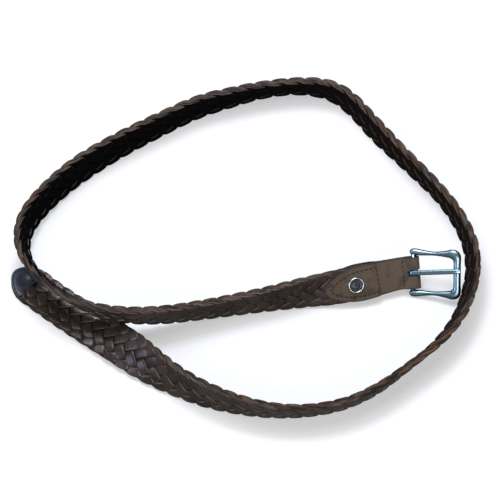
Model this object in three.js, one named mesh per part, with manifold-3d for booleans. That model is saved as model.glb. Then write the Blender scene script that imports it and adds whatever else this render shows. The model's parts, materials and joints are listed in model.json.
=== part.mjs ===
// A braided leather belt laid down in a loose loop: it stands on its edge most of the way round,
// leans outwards a little, and ends in a flat tip that is tucked under the run from the buckle.
// Millimetres, +Z up. A place on the strap is (along, side, out): along from the buckle's heel bar
// to the tip, side towards the edge left of travel, out of the face that is worn outwards.
import * as THREE from "three";
import { mergeVertices } from "three/addons/utils/BufferGeometryUtils.js";
import Module from "manifold-3d";

const wasm = await Module();
wasm.setup();

// Driving dimensions of the braid
const STRAP_WIDTH = 24;
const TIP_WIDTH = 27;
const BRAID_THICKNESS = 4.8;
const SEWN_THICKNESS = 3.4;
const SCALLOP_PITCH = 10.8;
const SCALLOP_DEPTH = 1.3;
const PITCH_SPREAD = 0.08;

// Driving dimensions of the lay on the surface
const LAY_HALF_WIDTH = 150;
const LAY_HALF_DEPTH = 130;
const CROSSING_LIFT = 12.5;
const STRAND_GAP = 4.5;

// Driving dimensions of the chape, the leather that holds the buckle
const LEATHER = 1.8;
const CHAPE_WIDTH = 21.2;
const STEM_LENGTH = 24;
const TONGUE_LENGTH = 61;
const TONGUE_SHOULDER = 37;
const EYE_SEAM = 8.5;
const SLOT_LENGTH = 4;
const SLOT_CLEARANCE = 1;
const TIP_CAP_LENGTH = 16;

// Driving dimensions of the buckle, the prong and the snap
const BAR_RADIUS = 1.6;
const BAR_CLEARANCE = 0.3;
const BUCKLE_SKEW = 4.5;
const BUCKLE_LEAN = 20;
const PRONG_SKEW = 5.5;
const BUCKLE_REACH = 30.1;
const RAIL_CLEARANCE = 0.95;
const RAIL_WIDTH = 4.7;
const FRAME_THICKNESS = 4;
const PRONG_WIDTH = 3.3;
const PRONG_THICKNESS = 2.6;
const PRONG_STOCK = 1.5;
const SNAP_DIAMETER = 10.9;
const SNAP_HEIGHT = 1.6;
const SNAP_CENTRE_DIAMETER = 8.6;
const SNAP_PLACE = 40;
const SNAP_BACK_DIAMETER = 8;
const GAP = 0.3;

// Counts of faces
const STEPS_PER_ROW = 12;
const STEPS_PER_SCALLOP = 4;
const CHAPE_STEP = 3;
const ROD_SIDES = 12;
const SNAP_SIDES = 32;

const EYE_RADIUS = BAR_RADIUS + BAR_CLEARANCE;
const FOLD_RADIUS = EYE_RADIUS + LEATHER;
const EYE_PLAY = (CHAPE_WIDTH / 2) * Math.tan(THREE.MathUtils.degToRad(BUCKLE_SKEW));
const RAIL_OFFSET = CHAPE_WIDTH / 2 + RAIL_CLEARANCE + RAIL_WIDTH / 2;
const BUCKLE_ROLL = 45;
const UP = new THREE.Vector3(0, 0, 1);

const leatherMaterial = (color, roughness) =>
  new THREE.MeshStandardMaterial({ color, roughness, metalness: 0 });
const metalMaterial = (color, roughness) =>
  new THREE.MeshStandardMaterial({ color, roughness, metalness: 1 });
const BRAID_LEATHER = leatherMaterial(0x3d302a, 0.5);
const TIP_LEATHER = leatherMaterial(0x2c2627, 0.35);
const CHAPE_LEATHER = leatherMaterial(0x62503f, 0.85);
const CAST_METAL = metalMaterial(0x9fb6c0, 0.3);
const SNAP_METAL = metalMaterial(0xc8d4da, 0.25);
const SNAP_ENAMEL = leatherMaterial(0x18222c, 0.35);

const smooth = THREE.MathUtils.smoothstep;
const lerp = THREE.MathUtils.lerp;

// The buckle's outline from the middle of the front bar to the end of a rail. reach is a share of
// BUCKLE_REACH, offset of RAIL_OFFSET, wide of RAIL_WIDTH, thick of FRAME_THICKNESS.
const FRAME_ROWS = [
  { reach: 1.0, offset: 0.0, wide: 1.06, thick: 0.95 },
  { reach: 1.0, offset: 0.52, wide: 1.06, thick: 0.95 },
  { reach: 0.997, offset: 0.72, wide: 1.2, thick: 0.97 },
  { reach: 0.965, offset: 0.9, wide: 1.5, thick: 1.0 },
  { reach: 0.885, offset: 0.99, wide: 1.38, thick: 1.0 },
  { reach: 0.75, offset: 0.985, wide: 0.98, thick: 0.9 },
  { reach: 0.49, offset: 0.97, wide: 0.58, thick: 0.75 },
  { reach: 0.24, offset: 0.98, wide: 0.78, thick: 0.86 },
  { reach: 0.07, offset: 1.0, wide: 1.0, thick: 1.0 },
  { reach: -0.03, offset: 1.0, wide: 0.92, thick: 0.95 },
  { reach: -0.08, offset: 1.0, wide: 0.45, thick: 0.5 },
];

// Half the height that a section of the strap takes when it is rolled by an angle
function restHeight(width, thickness, roll) {
  const angle = THREE.MathUtils.degToRad(roll);
  return (width * Math.abs(Math.sin(angle)) + thickness * Math.abs(Math.cos(angle))) / 2;
}

// The turn of the buckle in its fold: a little askew in the strap's plane, then leaning out of it
// about the heel bar
function buckleTurn() {
  const skew = new THREE.Matrix4().makeRotationZ(-THREE.MathUtils.degToRad(BUCKLE_SKEW));
  const lean = new THREE.Matrix4().makeRotationY(-THREE.MathUtils.degToRad(BUCKLE_LEAN));
  return skew.multiply(lean);
}

// The height of the heel bar over the surface when the lower corner of the buckle stands on it
function barHeight() {
  const seat = new THREE.Matrix4().makeRotationX(THREE.MathUtils.degToRad(BUCKLE_ROLL));
  const turned = seat.multiply(buckleTurn());
  const [forward, upward, outward] = [0, 1, 2].map((axis) => turned.elements[4 * axis + 2]);
  const lowest = FRAME_ROWS.map(({ reach, offset, wide, thick }) => {
    const down = offset * RAIL_OFFSET * upward - reach * BUCKLE_REACH * forward;
    const half = Math.hypot(wide * RAIL_WIDTH * upward, thick * FRAME_THICKNESS * outward);
    return down + half / 2;
  });
  return Math.max(...lowest);
}

// The run from the buckle to the left bend. x is a share of the heel bar's own x, y of
// LAY_HALF_DEPTH, roll in degrees from lying flat, rise of the bar's height over a resting strap,
// lift of CROSSING_LIFT.
const BUCKLE_RUN = [
  { x: 1.0, y: -0.2, roll: BUCKLE_ROLL, rise: 1.0, lift: 0 },
  { x: 0.914, y: -0.208, roll: BUCKLE_ROLL, rise: 1.0, lift: 0 },
  { x: 0.798, y: -0.233, roll: 46, rise: 0.95, lift: 0 },
  { x: 0.65, y: -0.266, roll: 50, rise: 0.75, lift: 0 },
  { x: 0.491, y: -0.299, roll: 61, rise: 0.35, lift: 0 },
  { x: 0.319, y: -0.327, roll: 77, rise: 0.05, lift: 0 },
  { x: 0.135, y: -0.359, roll: 89, rise: 0, lift: 0 },
];

// The rest of the way round. x is a share of LAY_HALF_WIDTH, y of LAY_HALF_DEPTH, lift of
// CROSSING_LIFT, and wide goes from 0 at STRAP_WIDTH to 1 at TIP_WIDTH.
const LOOP_RUN = [
  { x: -0.044, y: -0.395, roll: 96, lift: 0.02, wide: 0 },
  { x: -0.2, y: -0.438, roll: 101, lift: 0.14, wide: 0 },
  { x: -0.378, y: -0.488, roll: 104, lift: 0.42, wide: 0 },
  { x: -0.533, y: -0.515, roll: 107, lift: 0.8, wide: 0 },
  { x: -0.667, y: -0.499, roll: 111, lift: 1, wide: 0 },
  { x: -0.773, y: -0.442, roll: 116, lift: 1, wide: 0 },
  { x: -0.862, y: -0.368, roll: 119, lift: 1, wide: 0 },
  { x: -0.934, y: -0.283, roll: 117, lift: 1, wide: 0 },
  { x: -0.984, y: -0.193, roll: 112, lift: 0.95, wide: 0 },
  { x: -1.009, y: -0.079, roll: 107, lift: 0.8, wide: 0 },
  { x: -0.998, y: 0.049, roll: 103, lift: 0.55, wide: 0 },
  { x: -0.949, y: 0.177, roll: 101, lift: 0.3, wide: 0 },
  { x: -0.862, y: 0.315, roll: 100, lift: 0.12, wide: 0 },
  { x: -0.747, y: 0.45, roll: 99, lift: 0, wide: 0 },
  { x: -0.587, y: 0.585, roll: 94, lift: 0, wide: 0 },
  { x: -0.418, y: 0.707, roll: 90, lift: 0, wide: 0 },
  { x: -0.24, y: 0.822, roll: 86, lift: 0, wide: 0 },
  { x: -0.08, y: 0.888, roll: 80, lift: 0, wide: 0 },
  { x: 0.071, y: 0.937, roll: 74, lift: 0, wide: 0 },
  { x: 0.222, y: 0.957, roll: 74, lift: 0, wide: 0 },
  { x: 0.352, y: 0.932, roll: 81, lift: 0, wide: 0 },
  { x: 0.45, y: 0.851, roll: 89, lift: 0, wide: 0 },
  { x: 0.56, y: 0.688, roll: 91, lift: 0, wide: 0 },
  { x: 0.684, y: 0.513, roll: 86, lift: 0, wide: 0 },
  { x: 0.827, y: 0.314, roll: 84, lift: 0, wide: 0 },
  { x: 0.918, y: 0.148, roll: 89, lift: 0, wide: 0 },
  { x: 0.966, y: 0.011, roll: 95, lift: 0, wide: 0 },
  { x: 0.985, y: -0.101, roll: 102, lift: 0, wide: 0 },
  { x: 0.985, y: -0.211, roll: 109, lift: 0, wide: 0 },
  { x: 0.961, y: -0.353, roll: 113, lift: 0, wide: 0 },
  { x: 0.911, y: -0.495, roll: 115, lift: 0, wide: 0 },
  { x: 0.827, y: -0.634, roll: 116, lift: 0, wide: 0 },
  { x: 0.711, y: -0.763, roll: 114, lift: 0, wide: 0 },
  { x: 0.569, y: -0.904, roll: 112, lift: 0, wide: 0 },
  { x: 0.422, y: -0.999, roll: 113, lift: 0, wide: 0 },
  { x: 0.258, y: -1.045, roll: 113, lift: 0, wide: 0.2 },
  { x: 0.098, y: -1.046, roll: 109, lift: 0, wide: 0.4 },
  { x: -0.053, y: -1.011, roll: 101, lift: 0, wide: 0.6 },
  { x: -0.196, y: -0.951, roll: 91, lift: 0, wide: 0.8 },
  { x: -0.329, y: -0.868, roll: 80, lift: 0, wide: 1 },
  { x: -0.44, y: -0.773, roll: 62, lift: 0, wide: 1 },
  { x: -0.54, y: -0.665, roll: 39, lift: 0, wide: 1 },
  { x: -0.636, y: -0.559, roll: 17, lift: 0, wide: 1 },
  { x: -0.729, y: -0.468, roll: 7, lift: 0, wide: 1 },
  { x: -0.818, y: -0.382, roll: 2, lift: 0, wide: 1 },
  { x: -0.9, y: -0.302, roll: 0, lift: 0, wide: 1 },
  { x: -0.97, y: -0.23, roll: 0, lift: 0, wide: 1 },
  { x: -1.045, y: -0.152, roll: 0, lift: 0, wide: 1 },
];

// The row of the loop where it passes the front of the buckle
const BESIDE_BUCKLE = 0.985;

// Each row as a place on the surface with its roll, its height over a resting strap and its width
function layRows() {
  const reach = BUCKLE_REACH * Math.cos(THREE.MathUtils.degToRad(BUCKLE_LEAN));
  const barX = BESIDE_BUCKLE * LAY_HALF_WIDTH - STRAND_GAP - BRAID_THICKNESS - reach - 1.6;
  const rise = barHeight() - restHeight(STRAP_WIDTH, BRAID_THICKNESS, BUCKLE_ROLL);
  const fromBuckle = BUCKLE_RUN.map((row) => ({
    x: row.x * barX,
    y: row.y * LAY_HALF_DEPTH,
    roll: row.roll,
    over: row.rise * rise,
    width: STRAP_WIDTH,
  }));
  const round = LOOP_RUN.map((row) => ({
    x: row.x * LAY_HALF_WIDTH,
    y: row.y * LAY_HALF_DEPTH,
    roll: row.roll,
    over: row.lift * CROSSING_LIFT,
    width: lerp(STRAP_WIDTH, TIP_WIDTH, row.wide),
  }));
  return [...fromBuckle, ...round];
}

// A uniform Catmull-Rom curve through the rows, sampled closely, with the length along it
function layCurve() {
  const rows = layRows();
  const keys = Object.keys(rows[0]);
  const mirrored = (a, b) => Object.fromEntries(keys.map((k) => [k, 2 * a[k] - b[k]]));
  const line = [mirrored(rows[0], rows[1]), ...rows, mirrored(rows.at(-1), rows.at(-2))];
  const samples = [];
  for (let i = 1; i < line.length - 2; i++) {
    const last = i === line.length - 3 ? STEPS_PER_ROW : STEPS_PER_ROW - 1;
    for (let j = 0; j <= last; j++) {
      const t = j / STEPS_PER_ROW;
      const sample = {};
      for (const k of keys) {
        const [a, b, c, d] = [line[i - 1][k], line[i][k], line[i + 1][k], line[i + 2][k]];
        const cubic = (3 * b - a - 3 * c + d) * t ** 3;
        sample[k] = 0.5 * (2 * b + (c - a) * t + (2 * a - 5 * b + 4 * c - d) * t ** 2 + cubic);
      }
      const { x, y, roll, over, width } = sample;
      const centre = new THREE.Vector3(x, y, restHeight(width, BRAID_THICKNESS, roll) + over);
      const along = samples.length
        ? samples.at(-1).along + centre.distanceTo(samples.at(-1).centre)
        : 0;
      samples.push({ centre, roll, width, along });
    }
  }
  samples.forEach((sample, i) => {
    const ahead = samples[Math.min(i + 1, samples.length - 1)].centre;
    const behind = samples[Math.max(i - 1, 0)].centre;
    sample.travel = ahead.clone().sub(behind).setZ(0).normalize();
  });
  return samples;
}

const CURVE = layCurve();
const STRAP_END = CURVE.at(-1).along;

// The strap's frame at a length along it: centre, travel, side and out directions, and width
function strapFrame(along) {
  const clamped = THREE.MathUtils.clamp(along, 0, STRAP_END);
  let high = CURVE.findIndex((sample) => sample.along >= clamped);
  high = Math.max(high, 1);
  const [a, b] = [CURVE[high - 1], CURVE[high]];
  const t = (clamped - a.along) / (b.along - a.along);
  const travel = a.travel.clone().lerp(b.travel, t).normalize();
  const centre = a.centre.clone().lerp(b.centre, t).addScaledVector(travel, along - clamped);
  const roll = THREE.MathUtils.degToRad(lerp(a.roll, b.roll, t));
  const left = new THREE.Vector3().crossVectors(UP, travel);
  const side = left.clone().multiplyScalar(Math.cos(roll)).addScaledVector(UP, -Math.sin(roll));
  const out = UP.clone().multiplyScalar(Math.cos(roll)).addScaledVector(left, Math.sin(roll));
  return { centre, travel, side, out, width: lerp(a.width, b.width, t) };
}

function strapPoint(along, side, out) {
  const frame = strapFrame(along);
  return frame.centre.addScaledVector(frame.side, side).addScaledVector(frame.out, out);
}

// A closed solid through rings of points, each ring turning the same way round
function loft(rings) {
  const sides = rings[0].length;
  const index = [];
  for (let i = 0; i + 1 < rings.length; i++) {
    for (let j = 0; j < sides; j++) {
      const [a, b] = [i * sides + j, i * sides + ((j + 1) % sides)];
      index.push(a, b, b + sides, a, b + sides, a + sides);
    }
  }
  const end = (rings.length - 1) * sides;
  for (let j = 1; j + 1 < sides; j++) {
    index.push(0, j + 1, j, end, end + j, end + j + 1);
  }
  return new THREE.BufferGeometry().setFromPoints(rings.flat()).setIndex(index);
}

// An ellipse as a ring of points about a centre
function ellipseRing(centre, first, second, sides) {
  return Array.from({ length: sides }, (_, j) => {
    const angle = (2 * Math.PI * (j + 0.5)) / sides;
    return centre
      .clone()
      .addScaledVector(first, Math.cos(angle))
      .addScaledVector(second, Math.sin(angle));
  });
}

// Booleans by manifold-3d
function toSolid(geometry) {
  geometry.deleteAttribute("normal");
  geometry.deleteAttribute("uv");
  const merged = mergeVertices(geometry, 1e-4);
  return new wasm.Manifold(
    new wasm.Mesh({
      numProp: 3,
      vertProperties: merged.attributes.position.array,
      triVerts: new Uint32Array(merged.index.array),
    }),
  );
}

function fromSolid(solid) {
  const { vertProperties, triVerts } = solid.getMesh();
  return new THREE.BufferGeometry()
    .setAttribute("position", new THREE.BufferAttribute(vertProperties, 3))
    .setIndex(new THREE.BufferAttribute(triVerts, 1));
}

// A geometry made with x along the strap, y out of its face and z from 0 to 1 across its width,
// carried onto the strap
function carryAcross(geometry, halfWidth) {
  const place = geometry.attributes.position;
  for (let i = 0; i < place.count; i++) {
    const along = place.getX(i);
    const side = halfWidth(along) * (1 - 2 * place.getZ(i));
    const point = strapPoint(along, side, place.getY(i));
    place.setXYZ(i, point.x, point.y, point.z);
  }
  return geometry;
}

// The braid: one woven band with scalloped edges, sewn into the chape at one end
const BRAID_START = STEM_LENGTH + 1.8;
const BRAID_END = STRAP_END - TIP_CAP_LENGTH - GAP;
const SCALLOPS = Math.round((BRAID_END - BRAID_START) / SCALLOP_PITCH);

// The length along the strap at a count of scallops: they lie closer together at both ends
function scallopPlace(count) {
  const share = count / SCALLOPS;
  const bunched = share - (PITCH_SPREAD / (2 * Math.PI)) * Math.sin(2 * Math.PI * share);
  return lerp(BRAID_START, BRAID_END, bunched);
}

function braidThickness(along) {
  return lerp(SEWN_THICKNESS, BRAID_THICKNESS, smooth(along, TONGUE_LENGTH, TONGUE_LENGTH + 25));
}

function braidGeometry() {
  const rings = [];
  for (let i = 0; i <= SCALLOPS * STEPS_PER_SCALLOP; i++) {
    const count = i / STEPS_PER_SCALLOP;
    const along = scallopPlace(count);
    const sewn = lerp(0.88, 1, smooth(along, BRAID_START, TONGUE_LENGTH - 8));
    const half = (strapFrame(along).width / 2) * sewn;
    const left = half - SCALLOP_DEPTH * (1 - Math.abs(Math.sin(Math.PI * count)));
    const right = half - SCALLOP_DEPTH * (1 - Math.abs(Math.cos(Math.PI * count)));
    const thick = braidThickness(along);
    rings.push(
      [
        [left, 0.22],
        [left * 0.82, 0.5],
        [-right * 0.82, 0.5],
        [-right, 0.22],
        [-right, -0.22],
        [-right * 0.82, -0.5],
        [left * 0.82, -0.5],
        [left, -0.22],
      ].map(([side, share]) => strapPoint(along, side, share * thick)),
    );
  }
  return loft(rings);
}

// The tip: a solid leather end with a rounded outline, as thick as the braid
function tipGeometry() {
  const start = STRAP_END - TIP_CAP_LENGTH;
  const half = TIP_WIDTH / 2 - 0.6;
  const straight = 2;
  const outline = new THREE.Shape();
  outline.moveTo(start, -half);
  outline.lineTo(start + straight, -half);
  outline.absellipse(
    start + straight,
    0,
    TIP_CAP_LENGTH - straight,
    half,
    -Math.PI / 2,
    Math.PI / 2,
    false,
    0,
  );
  outline.lineTo(start, half);
  const geometry = new THREE.ExtrudeGeometry(outline, {
    depth: BRAID_THICKNESS,
    bevelEnabled: false,
    curveSegments: 14,
  });
  const place = geometry.attributes.position;
  for (let i = 0; i < place.count; i++) {
    const out = place.getZ(i) - BRAID_THICKNESS / 2;
    const point = strapPoint(place.getX(i), place.getY(i), out);
    place.setXYZ(i, point.x, point.y, point.z);
  }
  return geometry;
}

// Half the chape's width: it widens from the fold to the strap, then closes to the tongue's point
function chapeHalfWidth(along) {
  const strap = lerp(CHAPE_WIDTH, STRAP_WIDTH, smooth(along, EYE_SEAM, TONGUE_SHOULDER)) / 2;
  const share = (along - TONGUE_SHOULDER) / (TONGUE_LENGTH - TONGUE_SHOULDER);
  if (share <= 0) return strap;
  return Math.max(strap * Math.max(1 - share ** 1.9, 0) ** 0.6, 1.3);
}

// The chape: leather folded round the heel bar, its two layers sewn together as the stem and then
// parted to hold the end of the braid, the front one ending in a tongue
function chapeGeometry() {
  const pocket = SEWN_THICKNESS / 2 + GAP;
  const parting = STEM_LENGTH + 1.5;
  const every = (from, to) => {
    const count = Math.ceil((to - from) / CHAPE_STEP);
    return Array.from({ length: count + 1 }, (_, i) => lerp(from, to, i / count));
  };
  // Half the thickness over both layers, thinned to an edge at the tongue's point
  const faceAt = (along) => {
    const parted = smooth(along, parting - 3, parting + 2.5);
    const thinned = smooth(along, TONGUE_LENGTH - 8, TONGUE_LENGTH);
    return LEATHER * (1 - 0.35 * thinned) + pocket * parted;
  };
  const face = every(EYE_SEAM, TONGUE_LENGTH);
  const lining = every(parting, TONGUE_LENGTH);
  const shape = new THREE.Shape();
  shape.absarc(-EYE_PLAY, 0, FOLD_RADIUS, Math.PI / 2, (3 * Math.PI) / 2, false);
  shape.lineTo(EYE_PLAY, -FOLD_RADIUS);
  face.forEach((along) => shape.lineTo(along, -faceAt(along)));
  [...lining].reverse().forEach((along) => shape.lineTo(along, -pocket));
  lining.forEach((along) => shape.lineTo(along, pocket));
  [...face].reverse().forEach((along) => shape.lineTo(along, faceAt(along)));
  shape.lineTo(EYE_PLAY, FOLD_RADIUS);
  const eye = new THREE.Path();
  eye.absarc(-EYE_PLAY, 0, EYE_RADIUS, Math.PI / 2, (3 * Math.PI) / 2, false);
  eye.lineTo(EYE_PLAY, -EYE_RADIUS);
  eye.lineTo(EYE_SEAM - LEATHER, 0);
  eye.lineTo(EYE_PLAY, EYE_RADIUS);
  shape.holes.push(eye);
  const folded = new THREE.ExtrudeGeometry(shape, {
    depth: 1,
    bevelEnabled: false,
    curveSegments: 14,
  });
  const slotWidth = PRONG_WIDTH + 2 * SLOT_CLEARANCE;
  const slotReach = FOLD_RADIUS + EYE_PLAY + 1;
  const slot = new THREE.BoxGeometry(slotReach + SLOT_LENGTH, 4 * FOLD_RADIUS, 1);
  slot.translate((SLOT_LENGTH - slotReach) / 2, 0, 0.5);
  const leather = toSolid(carryAcross(folded, chapeHalfWidth));
  return fromSolid(leather.subtract(toSolid(carryAcross(slot, () => slotWidth / 2))));
}

// The buckle's frame: two waisted rails, the front bar and the heel bar in one casting. Its own
// axes are x from the heel bar to the front bar, y towards the upper rail and z out of its face.
function frameGeometry() {
  const lower = [...FRAME_ROWS].reverse().map((row) => ({ ...row, offset: -row.offset }));
  const rows = [...lower.slice(0, -1), ...FRAME_ROWS];
  const middle = rows.map(
    ({ reach, offset }) => new THREE.Vector3(reach * BUCKLE_REACH, offset * RAIL_OFFSET, 0),
  );
  const rings = rows.map(({ wide, thick }, i) => {
    const ahead = middle[Math.min(i + 1, middle.length - 1)];
    const run = ahead.clone().sub(middle[Math.max(i - 1, 0)]).normalize();
    const across = new THREE.Vector3().crossVectors(UP, run).multiplyScalar((wide * RAIL_WIDTH) / 2);
    const through = UP.clone().multiplyScalar((thick * FRAME_THICKNESS) / 2);
    return ellipseRing(middle[i], across, through, ROD_SIDES);
  });
  const bar = new THREE.CylinderGeometry(BAR_RADIUS, BAR_RADIUS, 2 * RAIL_OFFSET, 20);
  return fromSolid(toSolid(loft(rings)).add(toSolid(bar)));
}

// The prong: a strip curled round the heel bar that rests on the front bar
function prongGeometry() {
  const outer = EYE_RADIUS + PRONG_STOCK;
  const curl = new THREE.LatheGeometry(
    [
      new THREE.Vector2(EYE_RADIUS, -PRONG_WIDTH / 2),
      new THREE.Vector2(outer, -PRONG_WIDTH / 2),
      new THREE.Vector2(outer, PRONG_WIDTH / 2),
      new THREE.Vector2(EYE_RADIUS, PRONG_WIDTH / 2),
      new THREE.Vector2(EYE_RADIUS, -PRONG_WIDTH / 2),
    ],
    24,
  );
  const rest = (0.95 * FRAME_THICKNESS + PRONG_THICKNESS) / 2 + GAP;
  const root = EYE_RADIUS + PRONG_STOCK / 2;
  // reach is a share of BUCKLE_REACH, height runs from 0 at the curl to 1 at rest on the front
  // bar, wide and thick are shares of the prong's own sizes
  const strip = [
    { reach: 0.0, height: 0, wide: 0.98, thick: PRONG_STOCK / PRONG_THICKNESS },
    { reach: 0.12, height: 0.1, wide: 0.98, thick: 0.8 },
    { reach: 0.25, height: 0.25, wide: 1, thick: 1 },
    { reach: 0.6, height: 0.65, wide: 1, thick: 1 },
    { reach: 0.92, height: 1, wide: 0.98, thick: 1 },
    { reach: 1.04, height: 0.98, wide: 0.94, thick: 0.92 },
    { reach: 1.11, height: 0.85, wide: 0.7, thick: 0.6 },
  ];
  const rings = strip.map(({ reach, height, wide, thick }) =>
    ellipseRing(
      new THREE.Vector3(reach * BUCKLE_REACH, 0, lerp(root, rest, height)),
      new THREE.Vector3(0, (wide * PRONG_WIDTH) / 2, 0),
      new THREE.Vector3(0, 0, (thick * PRONG_THICKNESS) / 2),
      ROD_SIDES,
    ),
  );
  return fromSolid(toSolid(curl).add(toSolid(loft(rings))));
}

// The snap that closes the chape: a rim round a dark centre in front, a plain set ring behind
function snapGeometries() {
  const outer = SNAP_DIAMETER / 2;
  const inner = SNAP_CENTRE_DIAMETER / 2;
  const round = (rows) =>
    new THREE.LatheGeometry(
      rows.map(([radius, height]) => new THREE.Vector2(radius, height)),
      SNAP_SIDES,
    ).rotateX(Math.PI / 2);
  const rim = round([
    [inner, 0],
    [outer, 0],
    [outer, SNAP_HEIGHT * 0.5],
    [outer - 0.35, SNAP_HEIGHT],
    [inner + 0.2, SNAP_HEIGHT],
    [inner, SNAP_HEIGHT * 0.75],
    [inner, 0],
  ]);
  const centre = round([
    [0, 0],
    [inner - GAP / 2, 0],
    [inner - GAP / 2, SNAP_HEIGHT * 0.7],
    [inner * 0.6, SNAP_HEIGHT * 0.85],
    [0, SNAP_HEIGHT * 0.9],
  ]);
  const back = round([
    [0, 0],
    [SNAP_BACK_DIAMETER / 2, 0],
    [SNAP_BACK_DIAMETER / 2 - 0.3, SNAP_HEIGHT * 0.6],
    [0, SNAP_HEIGHT * 0.6],
  ]);
  return { rim, centre, back };
}

function piece(name, geometry, material) {
  const mesh = new THREE.Mesh(geometry, material);
  mesh.name = name;
  return mesh;
}

// A group seated on the strap with x back towards the buckle, y to the upper edge, z out
function seatedGroup(along, out) {
  const frame = strapFrame(along);
  const group = new THREE.Group();
  group.quaternion.setFromRotationMatrix(
    new THREE.Matrix4().makeBasis(frame.travel.negate(), frame.side.negate(), frame.out),
  );
  group.position.copy(strapPoint(along, 0, out));
  return group;
}

const strap = new THREE.Group();
strap.add(
  piece("braid", braidGeometry(), BRAID_LEATHER),
  piece("tip", tipGeometry(), TIP_LEATHER),
  piece("chape", chapeGeometry(), CHAPE_LEATHER),
);

// The prong's curl has play on the heel bar, so its strip points a little above the frame's middle
const prong = piece("prong", prongGeometry(), CAST_METAL);
prong.rotation.z = THREE.MathUtils.degToRad(PRONG_SKEW);
const buckle = seatedGroup(0, 0);
buckle.quaternion.multiply(new THREE.Quaternion().setFromRotationMatrix(buckleTurn()));
buckle.add(piece("buckle_frame", frameGeometry(), CAST_METAL), prong);

const snap = snapGeometries();
const faceOut = SEWN_THICKNESS / 2 + GAP + LEATHER + GAP;
const snapFront = seatedGroup(SNAP_PLACE, faceOut);
snapFront.add(
  piece("snap_rim", snap.rim, SNAP_METAL),
  piece("snap_centre", snap.centre, SNAP_ENAMEL),
);
const snapBack = seatedGroup(SNAP_PLACE, -faceOut);
const backCap = piece("snap_back", snap.back, SNAP_METAL);
backCap.rotation.x = Math.PI;
snapBack.add(backCap);

const belt = new THREE.Group();
belt.add(strap, buckle, snapFront, snapBack);

// The origin is under the middle of the belt, on the surface that it lies on
const bounds = new THREE.Box3().setFromObject(belt, true);
const middle = bounds.getCenter(new THREE.Vector3());
belt.position.set(-middle.x, -middle.y, -bounds.min.z);

export default belt;
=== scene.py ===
"""Dresses the braided belt: woven laces, stitched chape, moulded tip, snap, cast buckle, stage."""

import json
import logging
import math
from bisect import bisect_left
from dataclasses import dataclass, field
from enum import Enum
from typing import Any, Callable, Iterable, Sequence

import bmesh
import bpy
from mathutils import Matrix, Vector


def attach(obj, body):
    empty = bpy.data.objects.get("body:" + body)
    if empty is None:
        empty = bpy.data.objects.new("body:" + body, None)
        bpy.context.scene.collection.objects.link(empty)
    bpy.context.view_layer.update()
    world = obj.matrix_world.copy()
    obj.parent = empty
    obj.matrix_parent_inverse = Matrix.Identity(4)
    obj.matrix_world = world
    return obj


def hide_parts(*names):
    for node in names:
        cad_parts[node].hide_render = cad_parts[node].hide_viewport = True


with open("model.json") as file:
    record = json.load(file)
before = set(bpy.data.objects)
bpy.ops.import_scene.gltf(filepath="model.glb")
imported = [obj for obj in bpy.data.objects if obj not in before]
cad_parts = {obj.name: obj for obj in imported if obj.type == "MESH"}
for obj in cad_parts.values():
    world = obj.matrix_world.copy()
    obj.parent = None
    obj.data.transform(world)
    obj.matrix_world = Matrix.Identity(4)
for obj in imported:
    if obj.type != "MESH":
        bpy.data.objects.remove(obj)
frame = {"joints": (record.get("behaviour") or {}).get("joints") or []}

log = logging.getLogger("braided_belt")

MM = 0.001
UP = Vector((0.0, 0.0, 1.0))


class Body(Enum):
    """The moving bodies of the belt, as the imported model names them."""

    STRAP = "strap"
    FRAME = "frame"
    PIN = "pin"


def lerp(a: float, b: float, t: float) -> float:
    """Returns the value a share t of the way from a to b."""
    return a + (b - a) * t


def smooth(x: float, low: float, high: float) -> float:
    """Returns 0 below low, 1 above high and a smooth step between them."""
    t = min(max((x - low) / (high - low), 0.0), 1.0)
    return t * t * (3.0 - 2.0 * t)


def catmull_rom(a: float, b: float, c: float, d: float, t: float) -> float:
    """Returns the uniform Catmull-Rom value between b and c."""
    cubic = (3.0 * b - a - 3.0 * c + d) * t**3
    return 0.5 * (2.0 * b + (c - a) * t + (2.0 * a - 5.0 * b + 4.0 * c - d) * t**2 + cubic)


def through_rows(rows: Sequence[Sequence[float]], steps: int) -> list[list[float]]:
    """Samples a smooth curve through rows of numbers.

    Args:
        rows: Rows of equal length, read column by column.
        steps: Samples from each row to the next.

    Returns:
        The sampled rows, with the first and last row kept.
    """
    first = [2.0 * a - b for a, b in zip(rows[0], rows[1])]
    last = [2.0 * a - b for a, b in zip(rows[-1], rows[-2])]
    line = [first, *rows, last]
    samples = []
    for i in range(1, len(line) - 2):
        for j in range(steps + (i == len(line) - 3)):
            corners = zip(line[i - 1], line[i], line[i + 1], line[i + 2])
            samples.append([catmull_rom(*four, j / steps) for four in corners])
    return samples


def read_off(table: Sequence[tuple[float, float]], at: float) -> float:
    """Reads a table of places and values, with straight runs between its entries.

    Args:
        table: Places in rising order, each with its value.
        at: The place to read at.

    Returns:
        The value there; beyond the table, the value at its end.
    """
    for (a, low), (b, high) in zip(table, table[1:]):
        if at <= b:
            return lerp(low, high, min(max((at - a) / (b - a), 0.0), 1.0))
    return table[-1][1]


@dataclass(frozen=True)
class Station:
    """A place along the strap: its middle, its three directions and the strap's width there."""

    centre: Vector
    travel: Vector
    side: Vector
    out: Vector
    width: float

    def point(self, side: float, out: float) -> Vector:
        """Returns the place at an offset across and out of the strap, in millimetres."""
        return self.centre + self.side * side + self.out * out


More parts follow.
